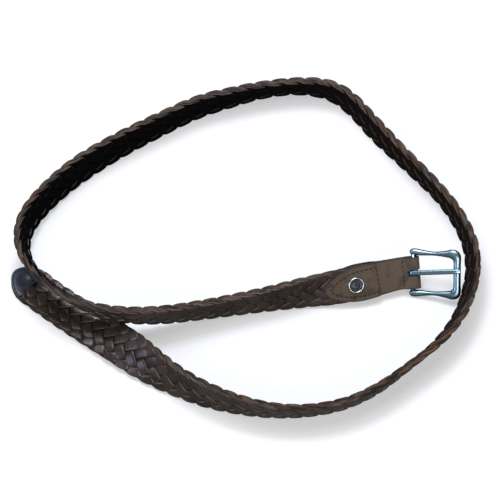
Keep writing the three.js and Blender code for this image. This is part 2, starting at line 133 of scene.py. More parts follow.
@dataclass
class Lay:
    """The way the strap lies, from the heel bar to the tip, in millimetres.

    The sizes and the rows are those of the part's source. Each row of buckle_run is a share of the
    heel bar's x, a share of half_depth, a roll in degrees and a share of the bar's extra height.
    Each row of loop_run is a share of half_width, of half_depth, a roll, a share of the crossing's
    lift and a share of the way from the strap's width to the tip's.
    """

    strap_width: float = 24.0
    tip_width: float = 27.0
    thickness: float = 4.8
    half_width: float = 150.0
    half_depth: float = 130.0
    crossing_lift: float = 12.5
    strand_gap: float = 4.5
    beside_buckle: float = 0.985
    buckle_reach: float = 30.1
    buckle_lean: float = 20.0
    buckle_roll: float = 45.0
    bar_height: float = 12.0
    steps_per_row: int = 12
    buckle_run: tuple = (
        (1.0, -0.2, 45.0, 1.0),
        (0.914, -0.208, 45.0, 1.0),
        (0.798, -0.233, 46.0, 0.95),
        (0.65, -0.266, 50.0, 0.75),
        (0.491, -0.299, 61.0, 0.35),
        (0.319, -0.327, 77.0, 0.05),
        (0.135, -0.359, 89.0, 0.0),
    )
    loop_run: tuple = (
        (-0.044, -0.395, 96.0, 0.02, 0.0),
        (-0.2, -0.438, 101.0, 0.14, 0.0),
        (-0.378, -0.488, 104.0, 0.42, 0.0),
        (-0.533, -0.515, 107.0, 0.8, 0.0),
        (-0.667, -0.499, 111.0, 1.0, 0.0),
        (-0.773, -0.442, 116.0, 1.0, 0.0),
        (-0.862, -0.368, 119.0, 1.0, 0.0),
        (-0.934, -0.283, 117.0, 1.0, 0.0),
        (-0.984, -0.193, 112.0, 0.95, 0.0),
        (-1.009, -0.079, 107.0, 0.8, 0.0),
        (-0.998, 0.049, 103.0, 0.55, 0.0),
        (-0.949, 0.177, 101.0, 0.3, 0.0),
        (-0.862, 0.315, 100.0, 0.12, 0.0),
        (-0.747, 0.45, 99.0, 0.0, 0.0),
        (-0.587, 0.585, 94.0, 0.0, 0.0),
        (-0.418, 0.707, 90.0, 0.0, 0.0),
        (-0.24, 0.822, 86.0, 0.0, 0.0),
        (-0.08, 0.888, 80.0, 0.0, 0.0),
        (0.071, 0.937, 74.0, 0.0, 0.0),
        (0.222, 0.957, 74.0, 0.0, 0.0),
        (0.352, 0.932, 81.0, 0.0, 0.0),
        (0.45, 0.851, 89.0, 0.0, 0.0),
        (0.56, 0.688, 91.0, 0.0, 0.0),
        (0.684, 0.513, 86.0, 0.0, 0.0),
        (0.827, 0.314, 84.0, 0.0, 0.0),
        (0.918, 0.148, 89.0, 0.0, 0.0),
        (0.966, 0.011, 95.0, 0.0, 0.0),
        (0.985, -0.101, 102.0, 0.0, 0.0),
        (0.985, -0.211, 109.0, 0.0, 0.0),
        (0.961, -0.353, 113.0, 0.0, 0.0),
        (0.911, -0.495, 115.0, 0.0, 0.0),
        (0.827, -0.634, 116.0, 0.0, 0.0),
        (0.711, -0.763, 114.0, 0.0, 0.0),
        (0.569, -0.904, 112.0, 0.0, 0.0),
        (0.422, -0.999, 113.0, 0.0, 0.0),
        (0.258, -1.045, 113.0, 0.0, 0.2),
        (0.098, -1.046, 109.0, 0.0, 0.4),
        (-0.053, -1.011, 101.0, 0.0, 0.6),
        (-0.196, -0.951, 91.0, 0.0, 0.8),
        (-0.329, -0.868, 80.0, 0.0, 1.0),
        (-0.44, -0.773, 62.0, 0.0, 1.0),
        (-0.54, -0.665, 39.0, 0.0, 1.0),
        (-0.636, -0.559, 17.0, 0.0, 1.0),
        (-0.729, -0.468, 7.0, 0.0, 1.0),
        (-0.818, -0.382, 2.0, 0.0, 1.0),
        (-0.9, -0.302, 0.0, 0.0, 1.0),
        (-0.97, -0.23, 0.0, 0.0, 1.0),
        (-1.045, -0.152, 0.0, 0.0, 1.0),
    )
    origin: Vector = field(default_factory=Vector)

    def __post_init__(self) -> None:
        """Samples the curve through the rows."""
        self.samples = self._sampled()
        self.alongs = [sample["along"] for sample in self.samples]
        self.end = self.alongs[-1]

    def rest_height(self, width: float, roll: float) -> float:
        """Returns half the height of a section of the strap rolled by an angle in degrees."""
        angle = math.radians(roll)
        return (width * abs(math.sin(angle)) + self.thickness * abs(math.cos(angle))) / 2.0

    def _rows(self) -> list[list[float]]:
        """Works out the rows in millimetres and degrees.

        Returns:
            Each row as x, y, roll, height over a resting strap, and width.
        """
        beside = self.beside_buckle * self.half_width
        reach = self.buckle_reach * math.cos(math.radians(self.buckle_lean))
        bar_x = beside - self.strand_gap - self.thickness - reach - 1.6
        rise = self.bar_height - self.rest_height(self.strap_width, self.buckle_roll)
        rows = [
            [x * bar_x, y * self.half_depth, roll, share * rise, self.strap_width]
            for x, y, roll, share in self.buckle_run
        ]
        for x, y, roll, lift, wide in self.loop_run:
            width = lerp(self.strap_width, self.tip_width, wide)
            place = [x * self.half_width, y * self.half_depth]
            rows.append([*place, roll, lift * self.crossing_lift, width])
        return rows

    def _sampled(self) -> list[dict[str, Any]]:
        """Walks the curve and notes how the strap lies on the way.

        Returns:
            Samples with their centre, roll, width, along and travel.
        """
        samples: list[dict[str, Any]] = []
        for x, y, roll, over, width in through_rows(self._rows(), self.steps_per_row):
            centre = Vector((x, y, self.rest_height(width, roll) + over))
            step = (centre - samples[-1]["centre"]).length if samples else 0.0
            along = samples[-1]["along"] + step if samples else 0.0
            samples.append({"centre": centre, "roll": roll, "width": width, "along": along})
        for i, sample in enumerate(samples):
            ahead = samples[min(i + 1, len(samples) - 1)]["centre"]
            run = ahead - samples[max(i - 1, 0)]["centre"]
            sample["travel"] = Vector((run.x, run.y, 0.0)).normalized()
        return samples

    def at(self, along: float) -> Station:
        """Returns the station at a length along the strap.

        Args:
            along: Millimetres from the heel bar; below 0 it runs straight on past the bar.

        Returns:
            The station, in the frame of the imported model.
        """
        clamped = min(max(along, 0.0), self.end)
        high = max(bisect_left(self.alongs, clamped), 1)
        a, b = self.samples[high - 1], self.samples[high]
        t = (clamped - a["along"]) / (b["along"] - a["along"])
        travel = a["travel"].lerp(b["travel"], t).normalized()
        centre = a["centre"].lerp(b["centre"], t) + travel * (along - clamped) + self.origin
        roll = math.radians(lerp(a["roll"], b["roll"], t))
        left = UP.cross(travel)
        side = left * math.cos(roll) - UP * math.sin(roll)
        out = UP * math.cos(roll) + left * math.sin(roll)
        return Station(centre, travel, side, out, lerp(a["width"], b["width"], t))


def strap_lay() -> Lay:
    """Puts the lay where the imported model's hinge has the heel bar.

    Returns:
        The lay.
    """
    hinge = next(joint for joint in frame["joints"] if joint["name"] == "frame_hinge")
    bar = Vector(hinge["pos_m"]) / MM
    lay = Lay(bar_height=bar.z)
    lay.origin = bar - lay.samples[0]["centre"]
    lay.origin.z = 0.0
    return lay


# Materials


def linear(code: str) -> tuple[float, float, float, float]:
    """Turns an sRGB hex colour to linear light.

    Args:
        code: The colour, with its hash sign.

    Returns:
        Red, green, blue and alpha.
    """
    parts = [int(code.lstrip("#")[i : i + 2], 16) / 255.0 for i in (0, 2, 4)]
    red, green, blue = (c / 12.92 if c <= 0.04045 else ((c + 0.055) / 1.055) ** 2.4 for c in parts)
    return (red, green, blue, 1.0)


def add_node(
    tree: bpy.types.NodeTree,
    kind: str,
    settings: dict[str, Any] | None = None,
    inputs: dict[str | int, Any] | None = None,
) -> bpy.types.Node:
    """Adds a shader node.

    Args:
        tree: The material's node tree.
        kind: The node's type name.
        settings: Attributes of the node.
        inputs: Values or other nodes' output sockets, by the input's name or number.

    Returns:
        The new node.
    """
    node = tree.nodes.new(kind)
    for name, value in (settings or {}).items():
        setattr(node, name, value)
    for key, value in (inputs or {}).items():
        socket = node.inputs[key]
        if isinstance(value, bpy.types.NodeSocket):
            tree.links.new(value, socket)
        else:
            socket.default_value = value
    return node


def new_material(name: str) -> tuple[bpy.types.Material, bpy.types.NodeTree, bpy.types.Node]:
    """Starts a material with a Principled shader linked to its output.

    Args:
        name: The material's name.

    Returns:
        The material, its node tree and its shader.
    """
    material = bpy.data.materials.new(name)
    material.use_nodes = True
    tree = material.node_tree
    tree.nodes.clear()
    shader = add_node(tree, "ShaderNodeBsdfPrincipled")
    add_node(tree, "ShaderNodeOutputMaterial", inputs={"Surface": shader.outputs["BSDF"]})
    return material, tree, shader


@dataclass(frozen=True)
class LaceLeather:
    """Grain side of a dyed, oiled and waxed cowhide lace, cut from the hide with raw edges.

    To the eye its worn face has a soft waxy sheen and tan fibres show along the cuts; in the gaps
    and dips of the weave its colour is painted nearly black, as painted shade. Real grain, fibres
    and splits are about a third as wide as these, too fine to show at the photograph's scale, so
    they are drawn as coarse as they need to show.
    """

    # deep: painted shade, the near-black colour put into the gaps and dips of the weave.
    deep: str = "#080606"
    face: str = "#322825"
    worn: str = "#483c38"
    raw: str = "#2b1d15"
    raw_pale: str = "#624a38"
    raw_grey: str = "#504842"
    line: str = "#877b73"
    split: str = "#120c09"
    grain_mm: float = 0.9
    patch_mm: float = 14.0
    fibre_mm: float = 0.8
    fibre_length_mm: float = 7.0
    split_mm: float = 1.4
    split_length_mm: float = 16.0
    ragged: float = 0.9
    uneven: float = 0.2

    def build(self) -> bpy.types.Material:
        """Builds the material, which reads the laces' raw, line, high, polish and lie; high sets
        the painted shade in the weave's gaps.

        Returns:
            The material.
        """
        material, tree, shader = new_material("oiled_lace_leather")
        place = add_node(tree, "ShaderNodeTexCoord").outputs["Object"]
        raw = add_node(tree, "ShaderNodeAttribute", {"attribute_name": "raw"}).outputs["Fac"]
        high = add_node(tree, "ShaderNodeAttribute", {"attribute_name": "high"}).outputs["Fac"]
        polish = add_node(tree, "ShaderNodeAttribute", {"attribute_name": "polish"}).outputs["Fac"]
        lie = add_node(tree, "ShaderNodeAttribute", {"attribute_name": "lie"}).outputs["Vector"]
        patch = add_node(
            tree, "ShaderNodeTexNoise", None,
            {"Vector": place, "Scale": 1 / (self.patch_mm * MM), "Detail": 3.0},
        ).outputs["Fac"]
        grain = add_node(
            tree, "ShaderNodeTexNoise", None,
            {"Vector": place, "Scale": 1 / (self.grain_mm * MM), "Detail": 4.0, "Roughness": 0.6},
        ).outputs["Fac"]
        combed = add_node(
            tree, "ShaderNodeMapping", None,
            {"Vector": lie, "Scale": (1 / self.fibre_length_mm, *(2 * [1 / self.fibre_mm]))},
        ).outputs["Vector"]
        fibre = add_node(
            tree, "ShaderNodeTexNoise", None,
            {"Vector": combed, "Scale": 1.0, "Detail": 3.0, "Roughness": 0.6},
        ).outputs["Fac"]
        layered = add_node(
            tree, "ShaderNodeMapping", None,
            {"Vector": lie, "Scale": (1 / self.split_length_mm, *(2 * [1 / self.split_mm]))},
        ).outputs["Vector"]
        layer = add_node(
            tree, "ShaderNodeTexNoise", None, {"Vector": layered, "Scale": 1.0, "Detail": 1.0}
        ).outputs["Fac"]
        wear = add_node(
            tree, "ShaderNodeMapRange", {"interpolation_type": "SMOOTHSTEP"},
            {"Value": patch, "From Min": 0.35, "From Max": 0.7, "To Min": 0.0, "To Max": 1.0},
        ).outputs["Result"]
        face = add_node(
            tree, "ShaderNodeMix", {"data_type": "RGBA"},
            {0: wear, 6: linear(self.face), 7: linear(self.worn)},
        ).outputs[2]
        # Painted shade: where the high attribute is low, in the gaps and dips of the weave, the
        # colour is pulled towards the near-black painted shade.
        depth = add_node(
            tree, "ShaderNodeMapRange", {"interpolation_type": "SMOOTHSTEP"},
            {"Value": high, "From Min": 0.5, "From Max": 0.92, "To Min": 0.0, "To Max": 1.0},
        ).outputs["Result"]
        shaded = add_node(
            tree, "ShaderNodeMix", {"data_type": "RGBA"},
            {0: depth, 6: linear(self.deep), 7: face},
        ).outputs[2]
        streak = add_node(
            tree, "ShaderNodeMapRange", {"interpolation_type": "SMOOTHSTEP"},
            {"Value": fibre, "From Min": 0.36, "From Max": 0.66, "To Min": 0.0, "To Max": 1.0},
        ).outputs["Result"]
        greyed = add_node(
            tree, "ShaderNodeMix", {"data_type": "RGBA"},
            {0: wear, 6: linear(self.raw_pale), 7: linear(self.raw_grey)},
        ).outputs[2]
        brushed = add_node(
            tree, "ShaderNodeMix", {"data_type": "RGBA"},
            {0: streak, 6: linear(self.raw), 7: greyed},
        ).outputs[2]
        parted = add_node(
            tree, "ShaderNodeMapRange", {"interpolation_type": "SMOOTHSTEP"},
            {"Value": layer, "From Min": 0.36, "From Max": 0.46, "To Min": 1.0, "To Max": 0.0},
        ).outputs["Result"]
        frayed = add_node(
            tree, "ShaderNodeMix", {"data_type": "RGBA"},
            {0: parted, 6: brushed, 7: linear(self.split)},
        ).outputs[2]
        lines = add_node(tree, "ShaderNodeAttribute", {"attribute_name": "line"}).outputs["Fac"]
        cut = add_node(
            tree, "ShaderNodeMix", {"data_type": "RGBA"},
            {0: lines, 6: frayed, 7: linear(self.line)},
        ).outputs[2]
        ragged = add_node(
            tree, "ShaderNodeMath", {"operation": "MULTIPLY_ADD"},
            {0: grain, 1: self.ragged, 2: -self.ragged / 2.0},
        ).outputs[0]
        fuzzy = add_node(
            tree, "ShaderNodeMath", {"operation": "ADD"}, {0: raw, 1: ragged}
        ).outputs[0]
        show = add_node(
            tree, "ShaderNodeMapRange", {"interpolation_type": "SMOOTHSTEP"},
            {"Value": fuzzy, "From Min": 0.3, "From Max": 0.75, "To Min": 0.0, "To Max": 1.0},
        ).outputs["Result"]
        colour = add_node(
            tree, "ShaderNodeMix", {"data_type": "RGBA"}, {0: show, 6: shaded, 7: cut}
        ).outputs[2]
        tree.links.new(colour, shader.inputs["Base Color"])
        waxed = add_node(
            tree, "ShaderNodeMapRange", None,
            {"Value": polish, "From Min": 0.0, "From Max": 1.0, "To Min": 0.42, "To Max": 0.26},
        ).outputs["Result"]
        smears = add_node(
            tree, "ShaderNodeMath", {"operation": "MULTIPLY_ADD"},
            {0: grain, 1: self.uneven, 2: -self.uneven / 2.0},
        ).outputs[0]
        gloss = add_node(
            tree, "ShaderNodeMath", {"operation": "ADD"}, {0: waxed, 1: smears}
        ).outputs[0]
        rough = add_node(
            tree, "ShaderNodeMix", {"data_type": "FLOAT"}, {0: show, 2: gloss, 3: 0.92}
        ).outputs[0]
        tree.links.new(rough, shader.inputs["Roughness"])
        shader.inputs["Specular IOR Level"].default_value = 0.5
        coarse = add_node(
            tree, "ShaderNodeBump", None,
            {"Height": grain, "Strength": 0.35, "Distance": 0.25 * MM},
        ).outputs["Normal"]
        fine = add_node(
            tree, "ShaderNodeBump", None,
            {"Height": fibre, "Strength": 0.3, "Distance": 0.12 * MM, "Normal": coarse},
        ).outputs["Normal"]
        tree.links.new(fine, shader.inputs["Normal"])
        return material


@dataclass(frozen=True)
class LaceFleshSide:
    """Flesh side of the same lace, dyed through and left unpolished.

    To the eye it is dull and nearly black, so it swallows the light inside the loop. Along one
    stretch of the loop, where its inner face is turned from the light, it is painted blacker still,
    as painted shade. Its nap is drawn coarser than the real one, which is too fine to show.
    """

    # The near-black of the flesh: set at random by the nap, and as painted shade where the rows
    # call for it.
    ink_and_shade: str = "#08090d"
    brown: str = "#1e1714"
    nap_mm: float = 0.8
    uneven: float = 0.8

    def build(self) -> bpy.types.Material:
        """Builds the material, which reads from an attribute where the flesh is painted blacker as
        painted shade.

        Returns:
            The material.
        """
        material, tree, shader = new_material("dyed_flesh_side")
        place = add_node(tree, "ShaderNodeTexCoord").outputs["Object"]
        inky_and_shaded = add_node(tree, "ShaderNodeAttribute", {"attribute_name": "inky_and_shaded"}).outputs["Fac"]
        nap = add_node(
            tree, "ShaderNodeTexNoise", None,
            {"Vector": place, "Scale": 1 / (self.nap_mm * MM), "Detail": 4.0, "Roughness": 0.6},
        ).outputs["Fac"]
        worn_off = add_node(
            tree, "ShaderNodeMath", {"operation": "MULTIPLY_ADD"},
            {0: nap, 1: self.uneven, 2: -self.uneven / 2.0},
        ).outputs[0]
        # Painted shade from the attribute, with the nap's random wear on top.
        dye_and_shade = add_node(
            tree, "ShaderNodeMath", {"operation": "ADD", "use_clamp": True}, {0: inky_and_shaded, 1: worn_off}
        ).outputs[0]
        colour = add_node(
            tree, "ShaderNodeMix", {"data_type": "RGBA"},
            {0: dye_and_shade, 6: linear(self.brown), 7: linear(self.ink_and_shade)},
        ).outputs[2]
        tree.links.new(colour, shader.inputs["Base Color"])
        shader.inputs["Roughness"].default_value = 0.8
        shader.inputs["Specular IOR Level"].default_value = 0.05
        bump = add_node(
            tree, "ShaderNodeBump", None, {"Height": nap, "Strength": 0.4, "Distance": 0.2 * MM}
        ).outputs["Normal"]
        tree.links.new(bump, shader.inputs["Normal"])
        return material


@dataclass(frozen=True)
class Nubuck:
    """Nubuck: cowhide that was sanded on its grain side and then brushed.

    To the eye it is matt, with a short nap that catches a little light, greenish patches where it
    was rubbed, and dark cut edges. The nap is drawn coarser than the real one, which is too fine
    to show.
    """

    base: str = "#514539"
    light: str = "#695c50"
    rubbed: str = "#3a382f"
    edge: str = "#2e2620"
    nap_mm: float = 0.7
    patch_mm: float = 7.0

    def build(self) -> bpy.types.Material:
        """Builds the material.

        Returns:
            The material.
        """
        material, tree, shader = new_material("brushed_nubuck")
        place = add_node(tree, "ShaderNodeTexCoord").outputs["Object"]
        nap = add_node(
            tree, "ShaderNodeTexNoise", None,
            {"Vector": place, "Scale": 1 / (self.nap_mm * MM), "Detail": 5.0, "Roughness": 0.65},
        ).outputs["Fac"]
        patch = add_node(
            tree, "ShaderNodeTexNoise", None,
            {"Vector": place, "Scale": 1 / (self.patch_mm * MM), "Detail": 4.0},
        ).outputs["Fac"]
        napped = add_node(
            tree, "ShaderNodeMix", {"data_type": "RGBA"},
            {0: nap, 6: linear(self.base), 7: linear(self.light)},
        ).outputs[2]
        rub = add_node(
            tree, "ShaderNodeMapRange", {"interpolation_type": "SMOOTHSTEP"},
            {"Value": patch, "From Min": 0.48, "From Max": 0.68, "To Min": 0.0, "To Max": 0.75},
        ).outputs["Result"]
        face = add_node(
            tree, "ShaderNodeMix", {"data_type": "RGBA"},
            {0: rub, 6: napped, 7: linear(self.rubbed)},
        ).outputs[2]
        rim = add_node(tree, "ShaderNodeAttribute", {"attribute_name": "rim"}).outputs["Fac"]
        colour = add_node(
            tree, "ShaderNodeMix", {"data_type": "RGBA"},
            {0: rim, 6: face, 7: linear(self.edge)},
        ).outputs[2]
        tree.links.new(colour, shader.inputs["Base Color"])
        shader.inputs["Roughness"].default_value = 0.88
        shader.inputs["Specular IOR Level"].default_value = 0.3
        shader.inputs["Sheen Weight"].default_value = 0.15
        bump = add_node(
            tree, "ShaderNodeBump", None, {"Height": nap, "Strength": 0.4, "Distance": 0.2 * MM}
        ).outputs["Normal"]
        tree.links.new(bump, shader.inputs["Normal"])
        return material


@dataclass(frozen=True)
class PolishedTip:
    """Cowhide that was pressed between dies, waxed and polished.

    To the eye it is nearly black with a navy cast and a clear shine, which its pores break up. The
    pores are drawn coarser than real ones, which are too fine to show.
    """

    base: str = "#232735"
    light: str = "#464b5b"
    grain_mm: float = 1.2
    patch_mm: float = 6.25

    def build(self) -> bpy.types.Material:
        """Builds the material.

        Returns:
            The material.
        """
        material, tree, shader = new_material("polished_tip_leather")
        place = add_node(tree, "ShaderNodeTexCoord").outputs["Object"]
        grain = add_node(
            tree, "ShaderNodeTexNoise", None,
            {"Vector": place, "Scale": 1 / (self.grain_mm * MM), "Detail": 4.0},
        ).outputs["Fac"]
        patch = add_node(
            tree, "ShaderNodeTexNoise", None,
            {"Vector": place, "Scale": 1 / (self.patch_mm * MM), "Detail": 3.0},
        ).outputs["Fac"]
        colour = add_node(
            tree, "ShaderNodeMix", {"data_type": "RGBA"},
            {0: patch, 6: linear(self.base), 7: linear(self.light)},
        ).outputs[2]
        tree.links.new(colour, shader.inputs["Base Color"])
        rough = add_node(
            tree, "ShaderNodeMapRange", None,
            {"Value": grain, "From Min": 0.3, "From Max": 0.7, "To Min": 0.16, "To Max": 0.3},
        ).outputs["Result"]
        tree.links.new(rough, shader.inputs["Roughness"])
        bump = add_node(
            tree, "ShaderNodeBump", None, {"Height": grain, "Strength": 0.12, "Distance": 0.2 * MM}
        ).outputs["Normal"]
        tree.links.new(bump, shader.inputs["Normal"])
        return material


@dataclass(frozen=True)
class CastNickel:
    """Zinc alloy that was cast, nickel-plated and polished.

    Its colour is painted reflection and shade: bright and bluish high on the bars, where the lights
    would reflect, and dark down the sides and undersides, where the dark surroundings would. The
    scratches are drawn coarser than real ones, which are too fine to show.
    """

    # bright: painted highlight, the lights reflected; the second colour: painted shade, the dark
    # surroundings reflected.
    bright: str = "#9dbfd2"
    dark: str = "#0b1114"
    scratch_mm: float = 0.8

    def build(self, seat: Matrix, low_mm: float, high_mm: float) -> bpy.types.Material:
        """Builds the material.

        Args:
            seat: The place of the buckle's own axes in the model, in millimetres.
            low_mm: Height out of the buckle's plane where the painted shade is darkest.
            high_mm: Height where the painted highlight is brightest.

        Returns:
            The material.
        """
        material, tree, shader = new_material("cast_nickel")
        place = add_node(tree, "ShaderNodeTexCoord").outputs["Object"]
        out = seat.col[2].to_3d()
        level = seat.translation.dot(out) * MM
        height = add_node(
            tree, "ShaderNodeVectorMath", {"operation": "DOT_PRODUCT"}, {0: place, 1: tuple(out)}
        ).outputs["Value"]
        # Painted reflection and shade: the colour runs from dark to bright with height out of the
        # buckle's plane.
        painted_light_by_height = add_node(
            tree, "ShaderNodeMapRange", {"interpolation_type": "SMOOTHSTEP"},
            {
                "Value": height, "From Min": level + low_mm * MM, "From Max": level + high_mm * MM,
                "To Min": 0.0, "To Max": 1.0,
            },
        ).outputs["Result"]
        grain = add_node(
            tree, "ShaderNodeTexNoise", None,
            {"Vector": place, "Scale": 1 / (self.scratch_mm * MM), "Detail": 3.0},
        ).outputs["Fac"]
        colour = add_node(
            tree, "ShaderNodeMix", {"data_type": "RGBA"},
            {0: painted_light_by_height, 6: linear(self.dark), 7: linear(self.bright)},
        ).outputs[2]
        tree.links.new(colour, shader.inputs["Base Color"])
        shader.inputs["Metallic"].default_value = 1.0
        rough = add_node(
            tree, "ShaderNodeMapRange", None,
            {"Value": grain, "From Min": 0.3, "From Max": 0.7, "To Min": 0.24, "To Max": 0.34},
        ).outputs["Result"]
        tree.links.new(rough, shader.inputs["Roughness"])
        return material


@dataclass(frozen=True)
class SmallFinish:
    """A plain finish of a small piece, broken up by a fine noise so that it is never quite even.

    Where one is built, a comment names the real material and what it gives the eye.
    """

    name: str
    first: str
    second: str
    rough: float
    metallic: float = 0.0
    grain_mm: float = 0.5

    def build(self) -> bpy.types.Material:
        """Builds the material.

        Returns:
            The material.
        """
        material, tree, shader = new_material(self.name)
        place = add_node(tree, "ShaderNodeTexCoord").outputs["Object"]
        grain = add_node(
            tree, "ShaderNodeTexNoise", None,
            {"Vector": place, "Scale": 1 / (self.grain_mm * MM), "Detail": 3.0},
        ).outputs["Fac"]
        colour = add_node(
            tree, "ShaderNodeMix", {"data_type": "RGBA"},
            {0: grain, 6: linear(self.first), 7: linear(self.second)},
        ).outputs[2]
        tree.links.new(colour, shader.inputs["Base Color"])
        shader.inputs["Metallic"].default_value = self.metallic
        shader.inputs["Roughness"].default_value = self.rough
        return material


# Meshes


def make_piece(
    name: str, mesh: bmesh.types.BMesh, *materials: bpy.types.Material
) -> bpy.types.Object:
    """Turns a bmesh in millimetres into a smooth-shaded object in metres and frees it.

    Args:
        name: The piece's name.
        mesh: The bmesh, with its place in the model.
        materials: Its finishes, in the order of its material indices.

    Returns:
        The piece, at the origin.
    """
    bmesh.ops.transform(mesh, matrix=Matrix.Scale(MM, 4), verts=mesh.verts)
    data = bpy.data.meshes.new(name)
    mesh.to_mesh(data)
    mesh.free()
    for material in materials:
        data.materials.append(material)
    data.shade_smooth()
    piece = bpy.data.objects.new(name, data)
    bpy.context.scene.collection.objects.link(piece)
    return piece


def tube(
    mesh: bmesh.types.BMesh,
    rings: int,
    sides: int,
    place: Callable[[int, int], Vector],
    on_vertex: Callable[[bmesh.types.BMVert, int, int], None] | None = None,
) -> None:
    """Adds a closed tube to a mesh, from a grid rolled up and capped at both ends.

    Args:
        mesh: The mesh that gets the tube.
        rings: Number of rings along the tube.
        sides: Number of points round a ring.
        place: Gives the place of a ring's point.
        on_vertex: Called with each vertex, its ring and its point, to set attributes.
    """
    made = bmesh.ops.create_grid(mesh, x_segments=rings - 1, y_segments=sides, size=1.0)["verts"]
    for vertex in made:
        ring = round((vertex.co.x + 1.0) / 2.0 * (rings - 1))
        point = round((vertex.co.y + 1.0) / 2.0 * sides) % sides
        vertex.co = place(ring, point)
        if on_vertex:
            on_vertex(vertex, ring, point)
    bmesh.ops.remove_doubles(mesh, verts=made, dist=1e-6)
    made = [vertex for vertex in made if vertex.is_valid]
    rims = {edge for vertex in made for edge in vertex.link_edges if edge.is_boundary}
    bmesh.ops.holes_fill(mesh, edges=list(rims), sides=0)
    faces = {face for vertex in made for face in vertex.link_faces}
    bmesh.ops.recalc_face_normals(mesh, faces=list(faces))


@dataclass
class Braid:
    """Seven laces woven in a herringbone, turning back at both edges in scallops.

    A lace that leaves an edge goes under one, over two, under two and over one to the other edge.
    The fray rows and the shade rows are places along the strap, each with a share: how torn the cut
    edges are, and how far the flesh sides are painted blacker, as painted shade where the loop's
    inner face is turned from the light.
    """

    lay: Lay
    laces: int = 7
    pitch: float = 10.8
    pitch_spread: float = 0.08
    start: float = 25.8
    tip_length: float = 16.0
    gap: float = 0.3
    # Where the chape holds the braid: how it is pressed there, and how soon it widens after it.
    tongue_length: float = 61.0
    sewn_thickness: float = 3.4
    sewn_share: float = 0.88
    sewn_fade: float = 8.0
    press_fade: float = 25.0
    # A lace, which is thicker and squarer where it turns back at an edge.
    lace_thickness: float = 2.3
    turn_thickness: float = 4.3
    lace_cover: float = 1.05
    edge_inset: float = 3.0
    turn_from: float = 0.7
    boxed: float = 0.65
    boxed_turn: float = 0.5
    calm_turn: float = 0.55
    corner: float = 0.9
    arch: float = 1.4
    # At the edges: how far a lace would reach past them, and how deep inside it starts to give way.
    overreach: float = 1.6
    pressed: float = 2.0
    # On the faces: how far it may stand proud, how deep inside it gives way, and its floor gap.
    proud: float = 0.3
    flattened: float = 0.7
    floor_play: float = 0.03
    # The edges are worn round where the buckle's corner swings past them.
    beside_buckle: float = 748.0
    worn_near: float = 12.0
    worn_far: float = 26.0
    rounding: float = 2.2
    rounded: float = 1.1
    # Shares of half the width between which the cut sides turn raw.
    rim_from: float = 0.78
    rim_to: float = 0.95
    # The section's cut sides: their half height, and how raw they are below and at a whole edge.
    cut_depth: float = 0.3
    cut_below: float = 0.3
    cut_edge: float = 0.65
    # Heights in the section between which the fuzz ends and the flesh side sets in.
    fuzz_from: float = 0.5
    fuzz_to: float = 1.1
    flesh_from: float = 0.1
    flesh_to: float = 0.5
    # Places along the strap between which the laces turn glossy, towards the tip.
    polish_from: float = 850.0
    polish_to: float = 990.0
    # Each lace takes its fibres from its own stretch of hide.
    hide_apart: float = 97.0
    probe: float = 0.02
    steps_per_pitch: int = 12
    section: tuple = (
        (1.0, -0.28), (1.0, 0.28), (0.97, 0.6), (0.87, 0.84), (0.55, 0.97), (0.0, 1.03),
        (-0.55, 0.97), (-0.87, 0.84), (-0.97, 0.6), (-1.0, 0.28), (-1.0, -0.28), (-0.97, -0.6),
        (-0.87, -0.84), (-0.55, -0.97), (0.0, -1.03), (0.55, -0.97), (0.87, -0.84), (0.97, -0.6),
    )
    fray_rows: tuple = (
        (0.0, 0.15), (210.0, 0.2), (250.0, 0.9), (315.0, 0.9), (380.0, 0.15), (560.0, 0.25),
        (640.0, 0.7), (720.0, 1.0), (920.0, 1.0), (990.0, 0.3), (1140.0, 0.15),
    )
    ink_and_shade_rows: tuple = (
        (0.0, 0.0), (215.0, 0.0), (245.0, 1.0), (520.0, 0.9), (640.0, 0.0), (1140.0, 0.0),
    )

    def __post_init__(self) -> None:
        """Counts the scallops in the braid's length."""
        self.end = self.lay.end - self.tip_length - self.gap
        self.scallops = round((self.end - self.start) / self.pitch)

    def along(self, count: float) -> float:
        """Spaces the scallops, a little closer at the ends than in the middle of the belt.

        Args:
            count: Scallops from the chape.

        Returns:
            The length along the strap.
        """
        share = count / self.scallops
        spread = self.pitch_spread / (2.0 * math.pi)
        return lerp(self.start, self.end, share - spread * math.sin(2.0 * math.pi * share))

    def thickness(self, along: float) -> float:
        """Returns the braid's thickness, pressed where it is sewn into the chape."""
        pressed = smooth(along, self.tongue_length, self.tongue_length + self.press_fade)
        return lerp(self.sewn_thickness, self.lay.thickness, pressed)

    def half_width(self, along: float) -> float:
        """Returns half the braid's width."""
        held = smooth(along, self.start, self.tongue_length - self.sewn_fade)
        return self.lay.at(along).width / 2.0 * lerp(self.sewn_share, 1.0, held)

    def worn_by_buckle(self, along: float) -> float:
        """Returns how far the edges are rounded off where the buckle's corner swings past."""
        return 1.0 - smooth(
            abs(along - self.beside_buckle), self.worn_near, self.worn_far
        )

    def lace_width(self, along: float) -> float:
        """Works out the width of a lace that just covers the middle of the braid's face.

        Args:
            along: The length along the strap.

        Returns:
            The lace's width.
        """
        reach = self.half_width(along) - self.edge_inset
        steep = 2.0 * math.pi * self.corner / (self.laces * math.asin(self.corner))
        return self.pitch * math.sin(math.atan(reach * steep / self.pitch)) * self.lace_cover

    def swing(self, turns: float) -> float:
        """Returns where a lace is across the braid, from 1 at one edge to -1 at the other."""
        wave = self.corner * math.cos(2.0 * math.pi * turns / self.laces)
        return math.asin(wave) / math.asin(self.corner)

